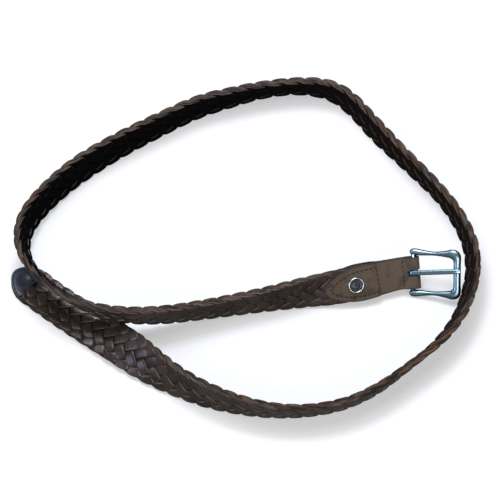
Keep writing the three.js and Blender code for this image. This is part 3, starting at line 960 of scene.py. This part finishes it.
    def level(self, turns: float) -> float:
        """Tells whether a lace is over or under the ones that it crosses.

        Args:
            turns: Scallops since the lace stood at its first edge.

        Returns:
            1 where it is over, -1 where it is under, and a quick step between them.
        """
        half = self.laces / 2.0
        since = turns % half
        spans = ((0.0, 0.75, -1.0), (0.75, 1.75, 1.0), (1.75, 2.75, -1.0), (2.75, half, 1.0))
        low, high, sign = next(span for span in spans if since <= span[1])
        bow = math.sin(math.pi * (since - low) / (high - low))
        return sign * math.tanh(self.arch * bow) / math.tanh(self.arch)

    def path(self, number: int, count: float) -> tuple[float, float, float]:
        """Follows the middle of a lace.

        Args:
            number: Which of the laces, from 0.
            count: Scallops from the chape.

        Returns:
            Its place as along, side and out.
        """
        along = self.along(count)
        turns = count - number - 0.5
        reach = self.half_width(along) + self.overreach - self.lace_width(along) / 2.0
        rise = (self.thickness(along) - self.lace_thickness) / 2.0
        swing = self.swing(turns)
        calm_turn = self.calm_turn * read_off(self.fray_rows, along)
        calm = 1.0 - calm_turn * smooth(abs(swing), self.turn_from, 1.0)
        return along, reach * swing, rise * calm * self.level(turns)

    def squeezed(self, place: float, limit: float, depth: float) -> float:
        """Presses a place in softly where it nears a limit.

        Args:
            place: The place, to either side of 0.
            limit: The farthest that it may be from 0.
            depth: How far before the limit it starts to give way.

        Returns:
            The pressed place.
        """
        past = abs(place) - (limit - depth)
        if past <= 0.0:
            return place
        return math.copysign(limit - depth + depth * math.tanh(past / depth), place)

    def lace(self, number: int, materials: Sequence[bpy.types.Material]) -> bpy.types.Object:
        """Builds one lace from the chape to the tip.

        Args:
            number: Which of the laces, from 0.
            materials: Its grain side and its flesh side.

        Returns:
            The lace's object, which stands for the woven solid.
        """
        mesh = bmesh.new()
        raw = mesh.verts.layers.float.new("raw")
        high = mesh.verts.layers.float.new("high")
        polish = mesh.verts.layers.float.new("polish")
        line = mesh.verts.layers.float.new("line")
        inky_and_shaded = mesh.verts.layers.float.new("inky_and_shaded")
        lie = mesh.verts.layers.float_vector.new("lie")
        under = set()
        rings = self.scallops * self.steps_per_pitch + 1
        stations = []
        for i in range(rings):
            count = i / self.steps_per_pitch
            before = self.path(number, count - self.probe)
            after = self.path(number, count + self.probe)
            along, side, out = self.path(number, count)
            run = Vector([b - a for a, b in zip(before, after)]).normalized()
            across = Vector((0.0, 0.0, 1.0)).cross(run).normalized()
            face = run.cross(across)
            stations.append((Vector((along, side, out)), across, face))

        def flat(ring: int, point: int) -> Vector:
            """Places a point of the lace's section on the straightened strap.

            Args:
                ring: Which section along the lace.
                point: Which point of the section.

            Returns:
                Its along, side and out.
            """
            middle, across, face = stations[ring]
            wide, deep = self.section[point]
            half = self.lace_width(middle.x) / 2.0
            edge = self.half_width(middle.x)
            turned = smooth(abs(middle.y) / (edge - half), self.turn_from, 1.0)
            thick = lerp(self.lace_thickness, self.turn_thickness, turned)
            box = lerp(self.boxed, self.boxed_turn, turned)
            deep = math.copysign(abs(deep) ** box, deep)
            spot = middle + across * wide * half + face * deep * thick / 2.0
            spot.y = self.squeezed(spot.y, edge, self.pressed)
            near_edge = smooth(abs(spot.y), edge - self.rounding, edge)
            rounded = self.rounded * near_edge * self.worn_by_buckle(middle.x)
            limit = self.thickness(middle.x) / 2.0 + self.proud - rounded
            spot.z = self.squeezed(spot.z, limit, self.flattened)
            return spot

        def place(ring: int, point: int) -> Vector:
            """Places a point of the lace in the model, pressed flat where it meets the floor.

            Args:
                ring: Which section along the lace.
                point: Which point of the section.

            Returns:
                Its place.
            """
            along, side, out = flat(ring, point)
            spot = self.lay.at(along).point(side, out)
            spot.z = max(spot.z, self.floor_play)
            return spot

        def attributes(vertex: bmesh.types.BMVert, ring: int, point: int) -> None:
            """Sets how raw, high, polished and shaded a vertex is, and where on the lace; high and
            the shade share carry the painted shade.

            Args:
                vertex: The vertex.
                ring: Which section along the lace.
                point: Which point of the section.
            """
            along, side, out = flat(ring, point)
            rim = smooth(abs(side) / self.half_width(along), self.rim_from, self.rim_to)
            wide, deep = self.section[point]
            # The second share is painted shade: where the loop's inner face is turned from the
            # light it paints the flesh blacker, takes the tan off the inner cut sides and darkens
            # the section's lower side.
            fray, ink_and_shade = read_off(self.fray_rows, along), read_off(self.ink_and_shade_rows, along)
            if abs(deep) < self.cut_depth:
                inner = (1.0 if deep > 0.0 else self.cut_below) * (1.0 - ink_and_shade)
                edge = lerp(self.cut_edge, 1.0, fray) * (1.0 - ink_and_shade * float(side > 0.0))
                vertex[raw] = lerp(inner, edge, rim)
                vertex[line] = (1.0 - rim) * float(deep > 0.0)
            else:
                vertex[raw] = rim * fray * (1.0 - smooth(abs(deep), self.fuzz_from, self.fuzz_to))
            # Painted shade: high is low near the middle of the braid's thickness, where the laces
            # dip under one another, and there the colour is painted near black; the shade share
            # pushes the section's lower side lower still.
            shade = 1.0 - ink_and_shade * (1.0 - fray) * smooth(-deep, self.flesh_from, self.flesh_to)
            vertex[high] = max(2.0 * abs(out) / self.thickness(along), rim) * shade
            vertex[polish] = smooth(along, self.polish_from, self.polish_to)
            vertex[inky_and_shaded] = ink_and_shade
            run = ring * self.pitch / self.steps_per_pitch + self.hide_apart * number
            vertex[lie] = Vector((run, wide * self.pitch / 2.0, deep * self.lace_thickness))
            if deep < -self.flesh_to:
                under.add(vertex)

        tube(mesh, rings, len(self.section), place, attributes)
        for face in mesh.faces:
            face.material_index = int(all(vertex in under for vertex in face.verts))
        return make_piece(f"lace_{number + 1}", mesh, *materials)

    def build(self, grain: LaceLeather, flesh: LaceFleshSide) -> None:
        """Builds all the laces and lets them stand for the woven solid.

        Args:
            grain: The finish of their grain side.
            flesh: The finish of their flesh side.
        """
        materials = (grain.build(), flesh.build())
        for number in range(self.laces):
            piece = self.lace(number, materials)
            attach(piece, Body.STRAP.value)
            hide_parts("braid")
            log.info("%s: %d faces", piece.name, len(piece.data.polygons))


@dataclass
class Chape:
    """One piece of leather folded round the heel bar and sewn to both faces of the braid."""

    lay: Lay
    leather: float = 1.8
    width: float = 21.2
    stem_length: float = 24.0
    tongue_length: float = 61.0
    tongue_shoulder: float = 37.0
    sewn_thickness: float = 3.4
    gap: float = 0.3
    # The eye round the heel bar, and the prong's slot through it.
    eye_seam: float = 8.5
    eye_play: float = 0.834
    eye_radius: float = 1.9
    slot_length: float = 3.7
    slot_width: float = 4.4
    fold_steps: int = 12
    fold_start: float = 0.93
    # The curve of the tongue's point, and the rise from the stem onto the braid.
    point_power: float = 1.9
    point_round: float = 0.6
    point_half: float = 1.3
    rise_before: float = 1.5
    rise_after: float = 4.0
    # The sheet's grid and its finished edges.
    columns: int = 20
    slot_columns: int = 2
    step: float = 1.5
    narrow: float = 1.5
    edge_dark: float = 0.8
    thinned: float = 0.05
    edge_radius: float = 0.45
    # The seam round the tongue, the seam across the stem and their stitches.
    stitch_inset: float = 3.3
    point_inset: float = 1.35
    seam_lead: float = 0.4
    seam_start: float = 0.6
    seam_steps: int = 120
    cross_seam: float = 7.0
    cross_half: float = 9.4
    stitch_pitch: float = 3.1
    stitch_radius: float = 0.42
    stitch_share: float = 0.4
    stitch_proud: float = 0.05

    @property
    def pocket(self) -> float:
        """Half the space between the two layers where they hold the braid."""
        return self.sewn_thickness / 2.0 + self.gap

    def half_width(self, along: float) -> float:
        """Follows the chape's edge: a parallel stem, a widening and a pointed tongue.

        Args:
            along: The length along the strap.

        Returns:
            Half the chape's width there.
        """
        widening = smooth(along, self.eye_seam, self.tongue_shoulder)
        strap = lerp(self.width, self.lay.strap_width, widening) / 2.0
        share = (along - self.tongue_shoulder) / (self.tongue_length - self.tongue_shoulder)
        if share <= 0.0:
            return strap
        narrowed = max(1.0 - share**self.point_power, 0.0) ** self.point_round
        return max(strap * narrowed, self.point_half)

    def face(self, along: float) -> float:
        """Returns the height of the chape's outer face over the strap's middle."""
        low, high = self.stem_length - self.rise_before, self.stem_length + self.rise_after
        return self.leather + self.pocket * smooth(along, low, high)

    def eye_rise(self, along: float) -> float:
        """Returns how far the leather stands off the strap's middle to make the eye."""
        return self.eye_radius * (1.0 - smooth(along, self.eye_play + 1.0, self.eye_seam))

    def profile(self) -> list[tuple[float, float]]:
        """Follows the middle of the leather from the front point, round the fold, to the back.

        Returns:
            Places as along and out.
        """
        half = self.leather / 2.0
        count = math.ceil((self.tongue_length - self.slot_length) / self.step)
        front = []
        for i in range(count + 1):
            along = lerp(self.tongue_length, self.slot_length, i / count)
            front.append((along, self.face(along) - half + self.eye_rise(along)))
        radius = self.eye_radius + half
        for t in (0.33, 0.66, 1.0):
            along = lerp(self.slot_length, self.eye_play, t)
            front.append((along, radius * lerp(self.fold_start, 1.0, t)))
        fold = []
        for i in range(self.fold_steps + 1):
            angle = math.pi / 2.0 + math.pi * i / self.fold_steps
            fold.append((-self.eye_play + radius * math.cos(angle), radius * math.sin(angle)))
        back = [(along, -out) for along, out in reversed(front)]
        return front + fold + back

    def sheet(self, material: bpy.types.Material) -> bpy.types.Object:
        """Builds the folded leather with its slot.

        Args:
            material: The chape's leather.

        Returns:
            The leather's object.
        """
        rows = self.profile()
        mesh = bmesh.new()
        rim = mesh.verts.layers.float.new("rim")
        made = bmesh.ops.create_grid(
            mesh, x_segments=len(rows) - 1, y_segments=self.columns, size=1.0
        )["verts"]
        slot = set()
        for vertex in made:
            row = round((vertex.co.x + 1.0) / 2.0 * (len(rows) - 1))
            column = round(vertex.co.y * self.columns / 2.0)
            along, out = rows[row]
            half = self.half_width(along)
            inner = self.slot_width / 2.0
            if abs(column) <= self.slot_columns:
                side = inner * column / self.slot_columns
            else:
                share = (abs(column) - self.slot_columns) / (self.columns / 2 - self.slot_columns)
                side = math.copysign(lerp(inner, half, share), column)
            if half <= inner * self.narrow:
                side = half * column / (self.columns / 2)
            vertex.co = self.lay.at(along).point(side, out)
            at_edge = abs(column) == self.columns // 2 or row in (0, len(rows) - 1)
            vertex[rim] = self.edge_dark * float(at_edge)
            if abs(column) <= self.slot_columns and along <= self.slot_length + 1e-4:
                slot.add(vertex)
        gone = [face for face in mesh.faces if all(corner in slot for corner in face.verts)]
        bmesh.ops.delete(mesh, geom=gone, context="FACES")
        bmesh.ops.recalc_face_normals(mesh, faces=mesh.faces)
        piece = make_piece("chape_leather", mesh, material)
        solidify = piece.modifiers.new("leather", "SOLIDIFY")
        solidify.thickness = (self.leather - self.thinned) * MM
        solidify.offset = 0.0
        bevel = piece.modifiers.new("rounded_edges", "BEVEL")
        bevel.width = self.edge_radius * MM
        bevel.segments = 3
        bevel.limit_method = "ANGLE"
        bevel.angle_limit = math.radians(50.0)
        return piece

    def outline(self, inset: float) -> list[tuple[float, float]]:
        """Follows the stitch line round the tongue, closed across the stem.

        Args:
            inset: How far it runs inside the edge.

        Returns:
            Places as along and side.
        """
        start = self.stem_length + self.seam_start
        end = self.tongue_length - inset * self.point_inset
        edge = []
        for i in range(self.seam_steps):
            along = lerp(start, end, i / (self.seam_steps - 1))
            side = self.half_width(along + inset * self.seam_lead) - inset
            edge.append((along, max(side, 0.0)))
        return edge + [(along, -side) for along, side in reversed(edge)] + [edge[0]]

    def stitch_places(self) -> Iterable[tuple[Vector, Vector, Vector]]:
        """Walks the seams of the front face.

        Yields:
            The middle, the run and the outward direction of each stitch.
        """
        across = [(self.cross_seam, -self.cross_half), (self.cross_seam, self.cross_half)]
        for line in (self.outline(self.stitch_inset), across):
            left = self.stitch_pitch / 2.0
            for a, b in zip(line, line[1:]):
                start, end = Vector(a), Vector(b)
                length = (end - start).length
                while length > 0.0 and left <= length:
                    along, side = start.lerp(end, left / length)
                    run = (end - start) / length
                    station = self.lay.at(along)
                    middle = station.point(side, self.face(along) + self.eye_rise(along))
                    yield middle, station.travel * run.x + station.side * run.y, station.out
                    left += self.stitch_pitch
                left -= length

    def stitches(self, material: bpy.types.Material) -> bpy.types.Object:
        """Builds all the stitches of the front face as one piece.

        Args:
            material: The thread.

        Returns:
            The thread's object.
        """
        mesh = bmesh.new()
        for middle, run, out in self.stitch_places():
            across = out.cross(run)
            turn = Matrix((run, across, out)).transposed().to_4x4()
            size = Matrix.Diagonal(
                (self.stitch_pitch * self.stitch_share, *(2 * [self.stitch_radius]), 1.0)
            )
            bmesh.ops.create_uvsphere(
                mesh, u_segments=8, v_segments=6, radius=1.0,
                matrix=Matrix.Translation(middle + out * self.stitch_proud) @ turn @ size,
            )
        return make_piece("chape_stitches", mesh, material)

    def build(self, finish: Nubuck, thread: SmallFinish) -> None:
        """Builds the leather and its stitches.

        Args:
            finish: The leather's finish.
            thread: The thread's finish.
        """
        leather = self.sheet(finish.build())
        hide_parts("chape")
        stitches = self.stitches(thread.build())
        for piece in (leather, stitches):
            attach(piece, Body.STRAP.value)
            log.info("%s: %d faces", piece.name, len(piece.data.polygons))


@dataclass
class Tip:
    """The pressed leather end: a half-round plan with a softly rounded rim."""

    lay: Lay
    length: float = 16.0
    straight: float = 2.0
    rim: float = 1.0
    taper: float = 1.6
    tuck: float = 0.6
    floor_play: float = 0.02
    # A groove pressed along the rim, and a soft hollow near the middle.
    groove_depth: float = 0.35
    groove_inset: float = 2.2
    groove_width: float = 0.6
    side_inset: float = 1.6
    dimple_depth: float = 0.9
    dimple_radius: float = 4.0
    dimple_along: float = 7.0
    dimple_side: float = 1.0
    rows: int = 40
    columns: int = 56

    def build(self, finish: PolishedTip) -> None:
        """Builds the tip, which stands for the plain solid.

        Args:
            finish: The leather's finish.
        """
        start = self.lay.end - self.length - self.tuck
        half = self.lay.tip_width / 2.0 - self.tuck
        thick = self.lay.thickness
        mesh = bmesh.new()
        made = bmesh.ops.create_grid(
            mesh, x_segments=self.rows, y_segments=self.columns, size=1.0
        )["verts"]
        station = self.lay.at(self.lay.end - self.length / 2.0)
        for vertex in made:
            a = (vertex.co.x + 1.0) / 2.0
            angle = vertex.co.y * math.pi / 2.0
            curve = max(math.cos(angle), 0.0) ** self.taper
            reach = self.tuck + self.straight + (self.length - self.straight) * curve
            side = half * math.sin(angle)
            along = start + a * reach
            inset = min((1.0 - a) * reach, (1.0 - abs(math.sin(angle))) * half * self.side_inset)
            off_groove = (inset - self.groove_inset) / self.groove_width
            groove = self.groove_depth * math.exp(-(off_groove ** 2))
            away = math.hypot(along - (start + self.dimple_along), side - self.dimple_side)
            away /= self.dimple_radius
            dimple = self.dimple_depth * math.exp(-(away ** 3))
            vertex.co = self.lay.at(along).point(side, thick / 2.0 - dimple - groove)
        bmesh.ops.recalc_face_normals(mesh, faces=mesh.faces)
        top = list(mesh.faces)
        below = bmesh.ops.extrude_face_region(mesh, geom=top)["geom"]
        lower = [item for item in below if isinstance(item, bmesh.types.BMVert)]
        floor = (self.lay.at(self.lay.end).centre - station.out * thick / 2.0).z
        for vertex in lower:
            vertex.co.z = floor + self.floor_play
        bmesh.ops.recalc_face_normals(mesh, faces=mesh.faces)
        sharp = [
            edge for edge in mesh.edges
            if len(edge.link_faces) == 2 and edge.calc_face_angle() > math.radians(60.0)
            and abs(edge.verts[0].co.z - edge.verts[1].co.z) < 0.5
        ]
        bmesh.ops.bevel(
            mesh, geom=sharp, offset=self.rim, segments=4, profile=0.5,
            affect="EDGES", material=-1, clamp_overlap=True,
        )
        piece = make_piece("tip_leather", mesh, finish.build())
        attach(piece, Body.STRAP.value)
        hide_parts("tip")
        log.info("%s: %d faces", piece.name, len(piece.data.polygons))


def lathe(name: str, rows: Sequence[tuple[float, float]], seat: Matrix,
          material: bpy.types.Material, steps: int = 64) -> bpy.types.Object:
    """Spins a profile round an axis.

    Args:
        name: The piece's name.
        rows: Radius and height, from one end of the profile to the other.
        seat: The place of the axis in the model, in millimetres.
        material: The finish.
        steps: Number of steps round the axis.

    Returns:
        The piece.
    """
    mesh = bmesh.new()
    line = [mesh.verts.new((radius, 0.0, height)) for radius, height in rows]
    edges = [mesh.edges.new(pair) for pair in zip(line, line[1:])]
    bmesh.ops.spin(
        mesh, geom=line + edges, cent=(0, 0, 0), axis=(0, 0, 1), angle=2.0 * math.pi,
        steps=steps, use_merge=True,
    )
    bmesh.ops.remove_doubles(mesh, verts=mesh.verts, dist=1e-5)
    bmesh.ops.recalc_face_normals(mesh, faces=mesh.faces)
    bmesh.ops.transform(mesh, matrix=seat, verts=mesh.verts)
    return make_piece(name, mesh, material)


@dataclass
class Snap:
    """The snap that closes the chape: a rolled rim round a dark dished centre, and its back."""

    lay: Lay
    place: float = 40.0
    diameter: float = 10.9
    centre_diameter: float = 8.6
    height: float = 1.6
    back_diameter: float = 8.0
    face: float = 4.1

    def seat(self, out: float, flip: bool) -> Matrix:
        """Works out the snap's axes: towards the buckle, to the upper edge, and outwards.

        Args:
            out: Height over the strap's middle.
            flip: Whether it faces the strap's back.

        Returns:
            The place of the snap's axes in the model.
        """
        station = self.lay.at(self.place)
        x, y, z = -station.travel, -station.side, station.out
        if flip:
            y, z = -y, -z
        matrix = Matrix((x, y, z)).transposed().to_4x4()
        matrix.translation = station.point(0.0, out)
        return matrix

    def build(self, metal: SmallFinish, enamel: SmallFinish) -> None:
        """Builds the rim, the dish and the back.

        Args:
            metal: The finish of the rim and the back.
            enamel: The finish of the dish.
        """
        outer, inner, high = self.diameter / 2.0, self.centre_diameter / 2.0, self.height
        rim_rows = [
            (inner, 0.0), (outer - 0.15, 0.0), (outer, 0.25), (outer, 0.75), (outer - 0.12, 1.15),
            (outer - 0.35, 1.45), (outer - 0.6, high), (outer - 0.85, 1.5), (inner + 0.1, 1.25),
            (inner, 1.0), (inner, 0.0),
        ]
        centre_rows = [
            (0.0, 0.0), (inner - 0.1, 0.0), (inner - 0.1, 0.95), (inner - 0.5, 1.1),
            (inner * 0.72, 1.0), (inner * 0.66, 0.82), (inner * 0.6, 1.0), (inner * 0.3, 0.9),
            (0.5, 0.85), (0.4, 1.05), (0.0, 1.12),
        ]
        back_rows = [
            (0.0, 0.0), (self.back_diameter / 2.0, 0.0), (self.back_diameter / 2.0, 0.4),
            (self.back_diameter / 2.0 - 0.4, high * 0.6), (2.2, high * 0.6), (1.9, 0.5),
            (0.0, 0.5),
        ]
        front, back = self.seat(self.face, False), self.seat(-self.face, True)
        bright = metal.build()
        pieces = [
            (lathe("snap_rolled_rim", rim_rows, front, bright), "snap_rim", "snap_metal"),
            (lathe("snap_dish", centre_rows, front, enamel.build()), "snap_centre", "snap_enamel"),
            (lathe("snap_post_back", back_rows, back, bright), "snap_back", "snap_metal"),
        ]
        for piece, node, slot in pieces:
            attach(piece, Body.STRAP.value)
            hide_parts(node)
            log.info("%s: %d faces", piece.name, len(piece.data.polygons))


@dataclass
class Buckle:
    """The cast frame with waisted rails, and the prong curled round its heel bar.

    Each of frame_rows is reach, offset, wide and thick, as shares of the sizes. Each of prong_rows
    is reach, height from the curl (0) to rest on the front bar (1), wide and thick. The painted
    light heights are heights out of the buckle's plane where the painted shade is darkest and the
    painted highlight brightest.
    """

    lay: Lay
    skew: float = 4.5
    lean: float = 20.0
    reach: float = 30.1
    rail_width: float = 4.7
    rail_offset: float = 13.9
    frame_thickness: float = 4.0
    bar_radius: float = 1.6
    bar_clearance: float = 0.3
    # The prong: a strip that thins to its stock where it curls, with a bulb behind the heel bar.
    prong_width: float = 3.3
    prong_thickness: float = 2.6
    prong_stock: float = 1.5
    prong_skew: float = 5.5
    bulb: float = 1.12
    bulb_turn: float = 30.0
    curl_wide: float = 0.98
    curl_start: float = -215.0
    curl_steps: int = 24
    rest_gap: float = 0.3
    squared: float = 0.6
    sides: int = 24
    frame_painted_light: tuple = (0.4, 2.1)
    prong_painted_light: tuple = (-0.6, 3.6)
    frame_rows: tuple = (
        (1.0, 0.0, 1.06, 0.95),
        (1.0, 0.52, 1.06, 0.95),
        (0.997, 0.72, 1.2, 0.97),
        (0.965, 0.9, 1.5, 1.0),
        (0.885, 0.99, 1.38, 1.0),
        (0.75, 0.985, 0.98, 0.9),
        (0.49, 0.97, 0.58, 0.75),
        (0.24, 0.98, 0.78, 0.86),
        (0.07, 1.0, 1.0, 1.0),
        (-0.03, 1.0, 0.92, 0.95),
        (-0.08, 1.0, 0.45, 0.5),
    )
    prong_rows: tuple = (
        (0.0, 0.0, 0.98, 0.577),
        (0.12, 0.1, 0.98, 0.8),
        (0.25, 0.25, 1.0, 1.0),
        (0.6, 0.65, 1.0, 1.0),
        (0.92, 1.0, 0.98, 1.0),
        (1.04, 0.98, 0.94, 0.92),
        (1.11, 0.85, 0.7, 0.6),
    )

    def seat(self) -> Matrix:
        """Works out the buckle's axes: to the front bar, to the upper rail, and outwards.

        Returns:
            The place of the buckle's axes in the model.
        """
        station = self.lay.at(0.0)
        axes = (-station.travel, -station.side, station.out)
        matrix = Matrix(axes).transposed().to_4x4()
        matrix.translation = station.centre
        askew = Matrix.Rotation(-math.radians(self.skew), 4, "Z")
        return matrix @ askew @ Matrix.Rotation(-math.radians(self.lean), 4, "Y")

    def casting(self, material: bpy.types.Material) -> bpy.types.Object:
        """Builds the frame: a bar bent round three sides, and the heel bar.

        Args:
            material: The plated metal.

        Returns:
            The frame's object.
        """
        half = through_rows(self.frame_rows, 6)
        rows = [[r, -o, w, t] for r, o, w, t in reversed(half[1:])] + half
        middle = [Vector((r * self.reach, o * self.rail_offset, 0.0)) for r, o, w, t in rows]

        def place(ring: int, point: int) -> Vector:
            """Places a point of the bent bar.

            Args:
                ring: Which section along the bar.
                point: Which point of the section.

            Returns:
                Its place on the buckle's axes.
            """
            ahead, behind = middle[min(ring + 1, len(rows) - 1)], middle[max(ring - 1, 0)]
            across = UP.cross(ahead - behind).normalized() * rows[ring][2] * self.rail_width / 2.0
            through = UP * rows[ring][3] * self.frame_thickness / 2.0
            angle = 2.0 * math.pi * point / self.sides
            return middle[ring] + across * math.cos(angle) + through * math.sin(angle)

        mesh = bmesh.new()
        tube(mesh, len(rows), self.sides, place)
        bmesh.ops.create_cone(
            mesh, cap_ends=True, segments=self.sides, radius1=self.bar_radius,
            radius2=self.bar_radius, depth=2.0 * self.rail_offset,
            matrix=Matrix.Rotation(math.pi / 2.0, 4, "X"),
        )
        bmesh.ops.transform(mesh, matrix=self.seat(), verts=mesh.verts)
        return make_piece("buckle_casting", mesh, material)

    def prong(self, material: bpy.types.Material) -> bpy.types.Object:
        """Builds the prong: its curl and its strip in one sweep.

        Args:
            material: The plated metal.

        Returns:
            The prong's object.
        """
        root = self.bar_radius + self.bar_clearance + self.prong_stock / 2.0
        bar_thick = self.frame_rows[0][3] * self.frame_thickness
        rest = (bar_thick + self.prong_thickness) / 2.0 + self.rest_gap
        stock = self.prong_stock / self.prong_thickness
        rows = []
        for i in range(self.curl_steps + 1):
            angle = math.radians(lerp(self.curl_start, 90.0, i / self.curl_steps))
            behind = max(-math.cos(angle + math.radians(self.bulb_turn)), 0.0)
            wide = lerp(self.curl_wide, self.bulb, behind)
            rows.append((root * math.cos(angle), root * math.sin(angle), wide, stock))
        strip = through_rows(self.prong_rows, 6)[1:]
        rows = [(-x, z, w, t) for x, z, w, t in rows]
        rows += [(r * self.reach, lerp(root, rest, h), w, t) for r, h, w, t in strip]
        middle = [Vector((x, 0.0, z)) for x, z, w, t in rows]

        def place(ring: int, point: int) -> Vector:
            """Places a point of the swept strip.

            Args:
                ring: Which section along the strip.
                point: Which point of the section.

            Returns:
                Its place on the buckle's axes.
            """
            ahead, behind = middle[min(ring + 1, len(rows) - 1)], middle[max(ring - 1, 0)]
            across = Vector((0.0, 1.0, 0.0))
            through = (ahead - behind).cross(across).normalized()
            angle = 2.0 * math.pi * (point + 0.5) / self.sides
            c, s = math.cos(angle), math.sin(angle)
            _, _, wide, thick = rows[ring]
            wide *= math.copysign(abs(c) ** self.squared, c) * self.prong_width / 2.0
            thick *= math.copysign(abs(s) ** self.squared, s) * self.prong_thickness / 2.0
            return middle[ring] + across * wide + through * thick

        mesh = bmesh.new()
        tube(mesh, len(rows), self.sides, place)
        askew = Matrix.Rotation(math.radians(self.prong_skew), 4, "Z")
        bmesh.ops.transform(mesh, matrix=self.seat() @ askew, verts=mesh.verts)
        return make_piece("prong_strip", mesh, material)

    def build(self, finish: CastNickel) -> None:
        """Builds the frame and the prong on their own bodies.

        Args:
            finish: The plated metal's finish.
        """
        seat = self.seat()
        casting = self.casting(finish.build(seat, *self.frame_painted_light))
        prong = self.prong(finish.build(seat, *self.prong_painted_light))
        for piece, body, node in (
            (casting, Body.FRAME, "buckle_frame"), (prong, Body.PIN, "prong"),
        ):
            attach(piece, body.value)
            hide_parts(node)
            log.info("%s: %d faces", piece.name, len(piece.data.polygons))


@dataclass
class Stage:
    """The pale floor, the soft lights and the long-lens camera."""

    lay: Lay
    elevation: float = 56.0
    pixels: float = 500.0
    pixels_per_mm: float = 1.5
    distance: float = 8.0
    sensor: float = 36.0
    floor_glow: float = 0.42
    floor_half: float = 4000.0
    clip_end: float = 40.0
    fill: float = 0.16

    def floor(self) -> None:
        """Lays a wide matt floor that glows a little, as a light table does, so shadows stay pale.

        It throws no light back at the dark leather.
        """
        mesh = bmesh.new()
        bmesh.ops.create_grid(mesh, x_segments=1, y_segments=1, size=self.floor_half)
        # Matt acrylic sheet, cast: pale and even, lit a little from below.
        surface = SmallFinish("pale_floor", "#c9cacb", "#cccdce", 0.9, grain_mm=40.0).build()
        shader = surface.node_tree.nodes["Principled BSDF"]
        shader.inputs["Emission Color"].default_value = linear("#fbfcff")
        shader.inputs["Emission Strength"].default_value = self.floor_glow
        piece = make_piece("floor", mesh, surface)
        piece.visible_diffuse = piece.visible_glossy = False

    def light(self, name: str, place: Sequence[float], size: float, watts: float,
              colour: str) -> None:
        """Hangs a square soft light that faces the belt.

        Args:
            name: The light's name.
            place: Its place in metres.
            size: Its side in metres.
            watts: Its power.
            colour: Its colour as sRGB hex.
        """
        data = bpy.data.lights.new(name, "AREA")
        data.shape = "SQUARE"
        data.size = size
        data.energy = watts
        data.color = linear(colour)[:3]
        lamp = bpy.data.objects.new(name, data)
        lamp.location = place
        lamp.rotation_euler = (-Vector(place)).to_track_quat("-Z", "Y").to_euler()
        bpy.context.scene.collection.objects.link(lamp)

    def camera(self) -> None:
        """Sets the camera at the photograph's angle."""
        tilt = math.radians(self.elevation)
        target = Vector((self.lay.origin.x, self.lay.origin.y, 0.0)) * MM
        away = Vector((0.0, -math.cos(tilt), math.sin(tilt)))
        data = bpy.data.cameras.new("camera")
        data.sensor_width = self.sensor
        data.lens = self.sensor * self.distance / (self.pixels / self.pixels_per_mm * MM)
        data.clip_end = self.clip_end
        camera = bpy.data.objects.new("camera", data)
        camera.location = target + away * self.distance
        camera.rotation_euler = (math.radians(90.0) - tilt, 0.0, 0.0)
        bpy.context.scene.collection.objects.link(camera)
        bpy.context.scene.camera = camera

    def build(self) -> None:
        """Builds the stage."""
        self.floor()
        self.light("overhead_softbox", (-0.25, 0.35, 1.6), 1.6, 21.0, "#fffaf4")
        self.light("window_softbox", (-0.2, 0.45, 1.6), 0.45, 12.0, "#dbe7ff")
        self.light("side_softbox", (-1.6, -0.6, 0.4), 0.8, 7.0, "#cfdfff")
        self.light("front_softbox", (0.2, -1.6, 0.7), 1.0, 13.0, "#fff6ec")
        world = bpy.data.worlds.new("studio")
        world.use_nodes = True
        background = world.node_tree.nodes["Background"]
        background.inputs["Color"].default_value = linear("#eef2f6")
        background.inputs["Strength"].default_value = self.fill
        bpy.context.scene.world = world
        bpy.context.scene.view_settings.view_transform = "Standard"
        self.camera()
        log.info("stage: floor, lights and camera")


def main() -> None:
    """Builds the belt's pieces in order; each piece logs its face count."""
    logging.basicConfig(level=logging.INFO, format="%(name)s: %(message)s")
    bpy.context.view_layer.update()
    lay = strap_lay()
    Stage(lay).build()
    Braid(lay).build(LaceLeather(), LaceFleshSide())
    # Waxed thread, twisted: dark and dull, so each stitch is a short dark dash on the nubuck.
    thread = SmallFinish("waxed_thread", "#1d1714", "#33291f", 0.7)
    Chape(lay).build(Nubuck(), thread)
    Tip(lay).build(PolishedTip())
    # Steel, rolled and nickel-plated: a bright, hard ring round the dark dish.
    metal = SmallFinish("snap_steel", "#c8d8e0", "#e4edf2", 0.2, metallic=1.0)
    # Enamel, stoved in a pressed dish: blue-black with a soft highlight on its ring.
    enamel = SmallFinish("snap_enamel_fill", "#111c2a", "#1c2c3c", 0.3)
    Snap(lay).build(metal, enamel)
    Buckle(lay).build(CastNickel())


if __name__ == "__main__":
    main()
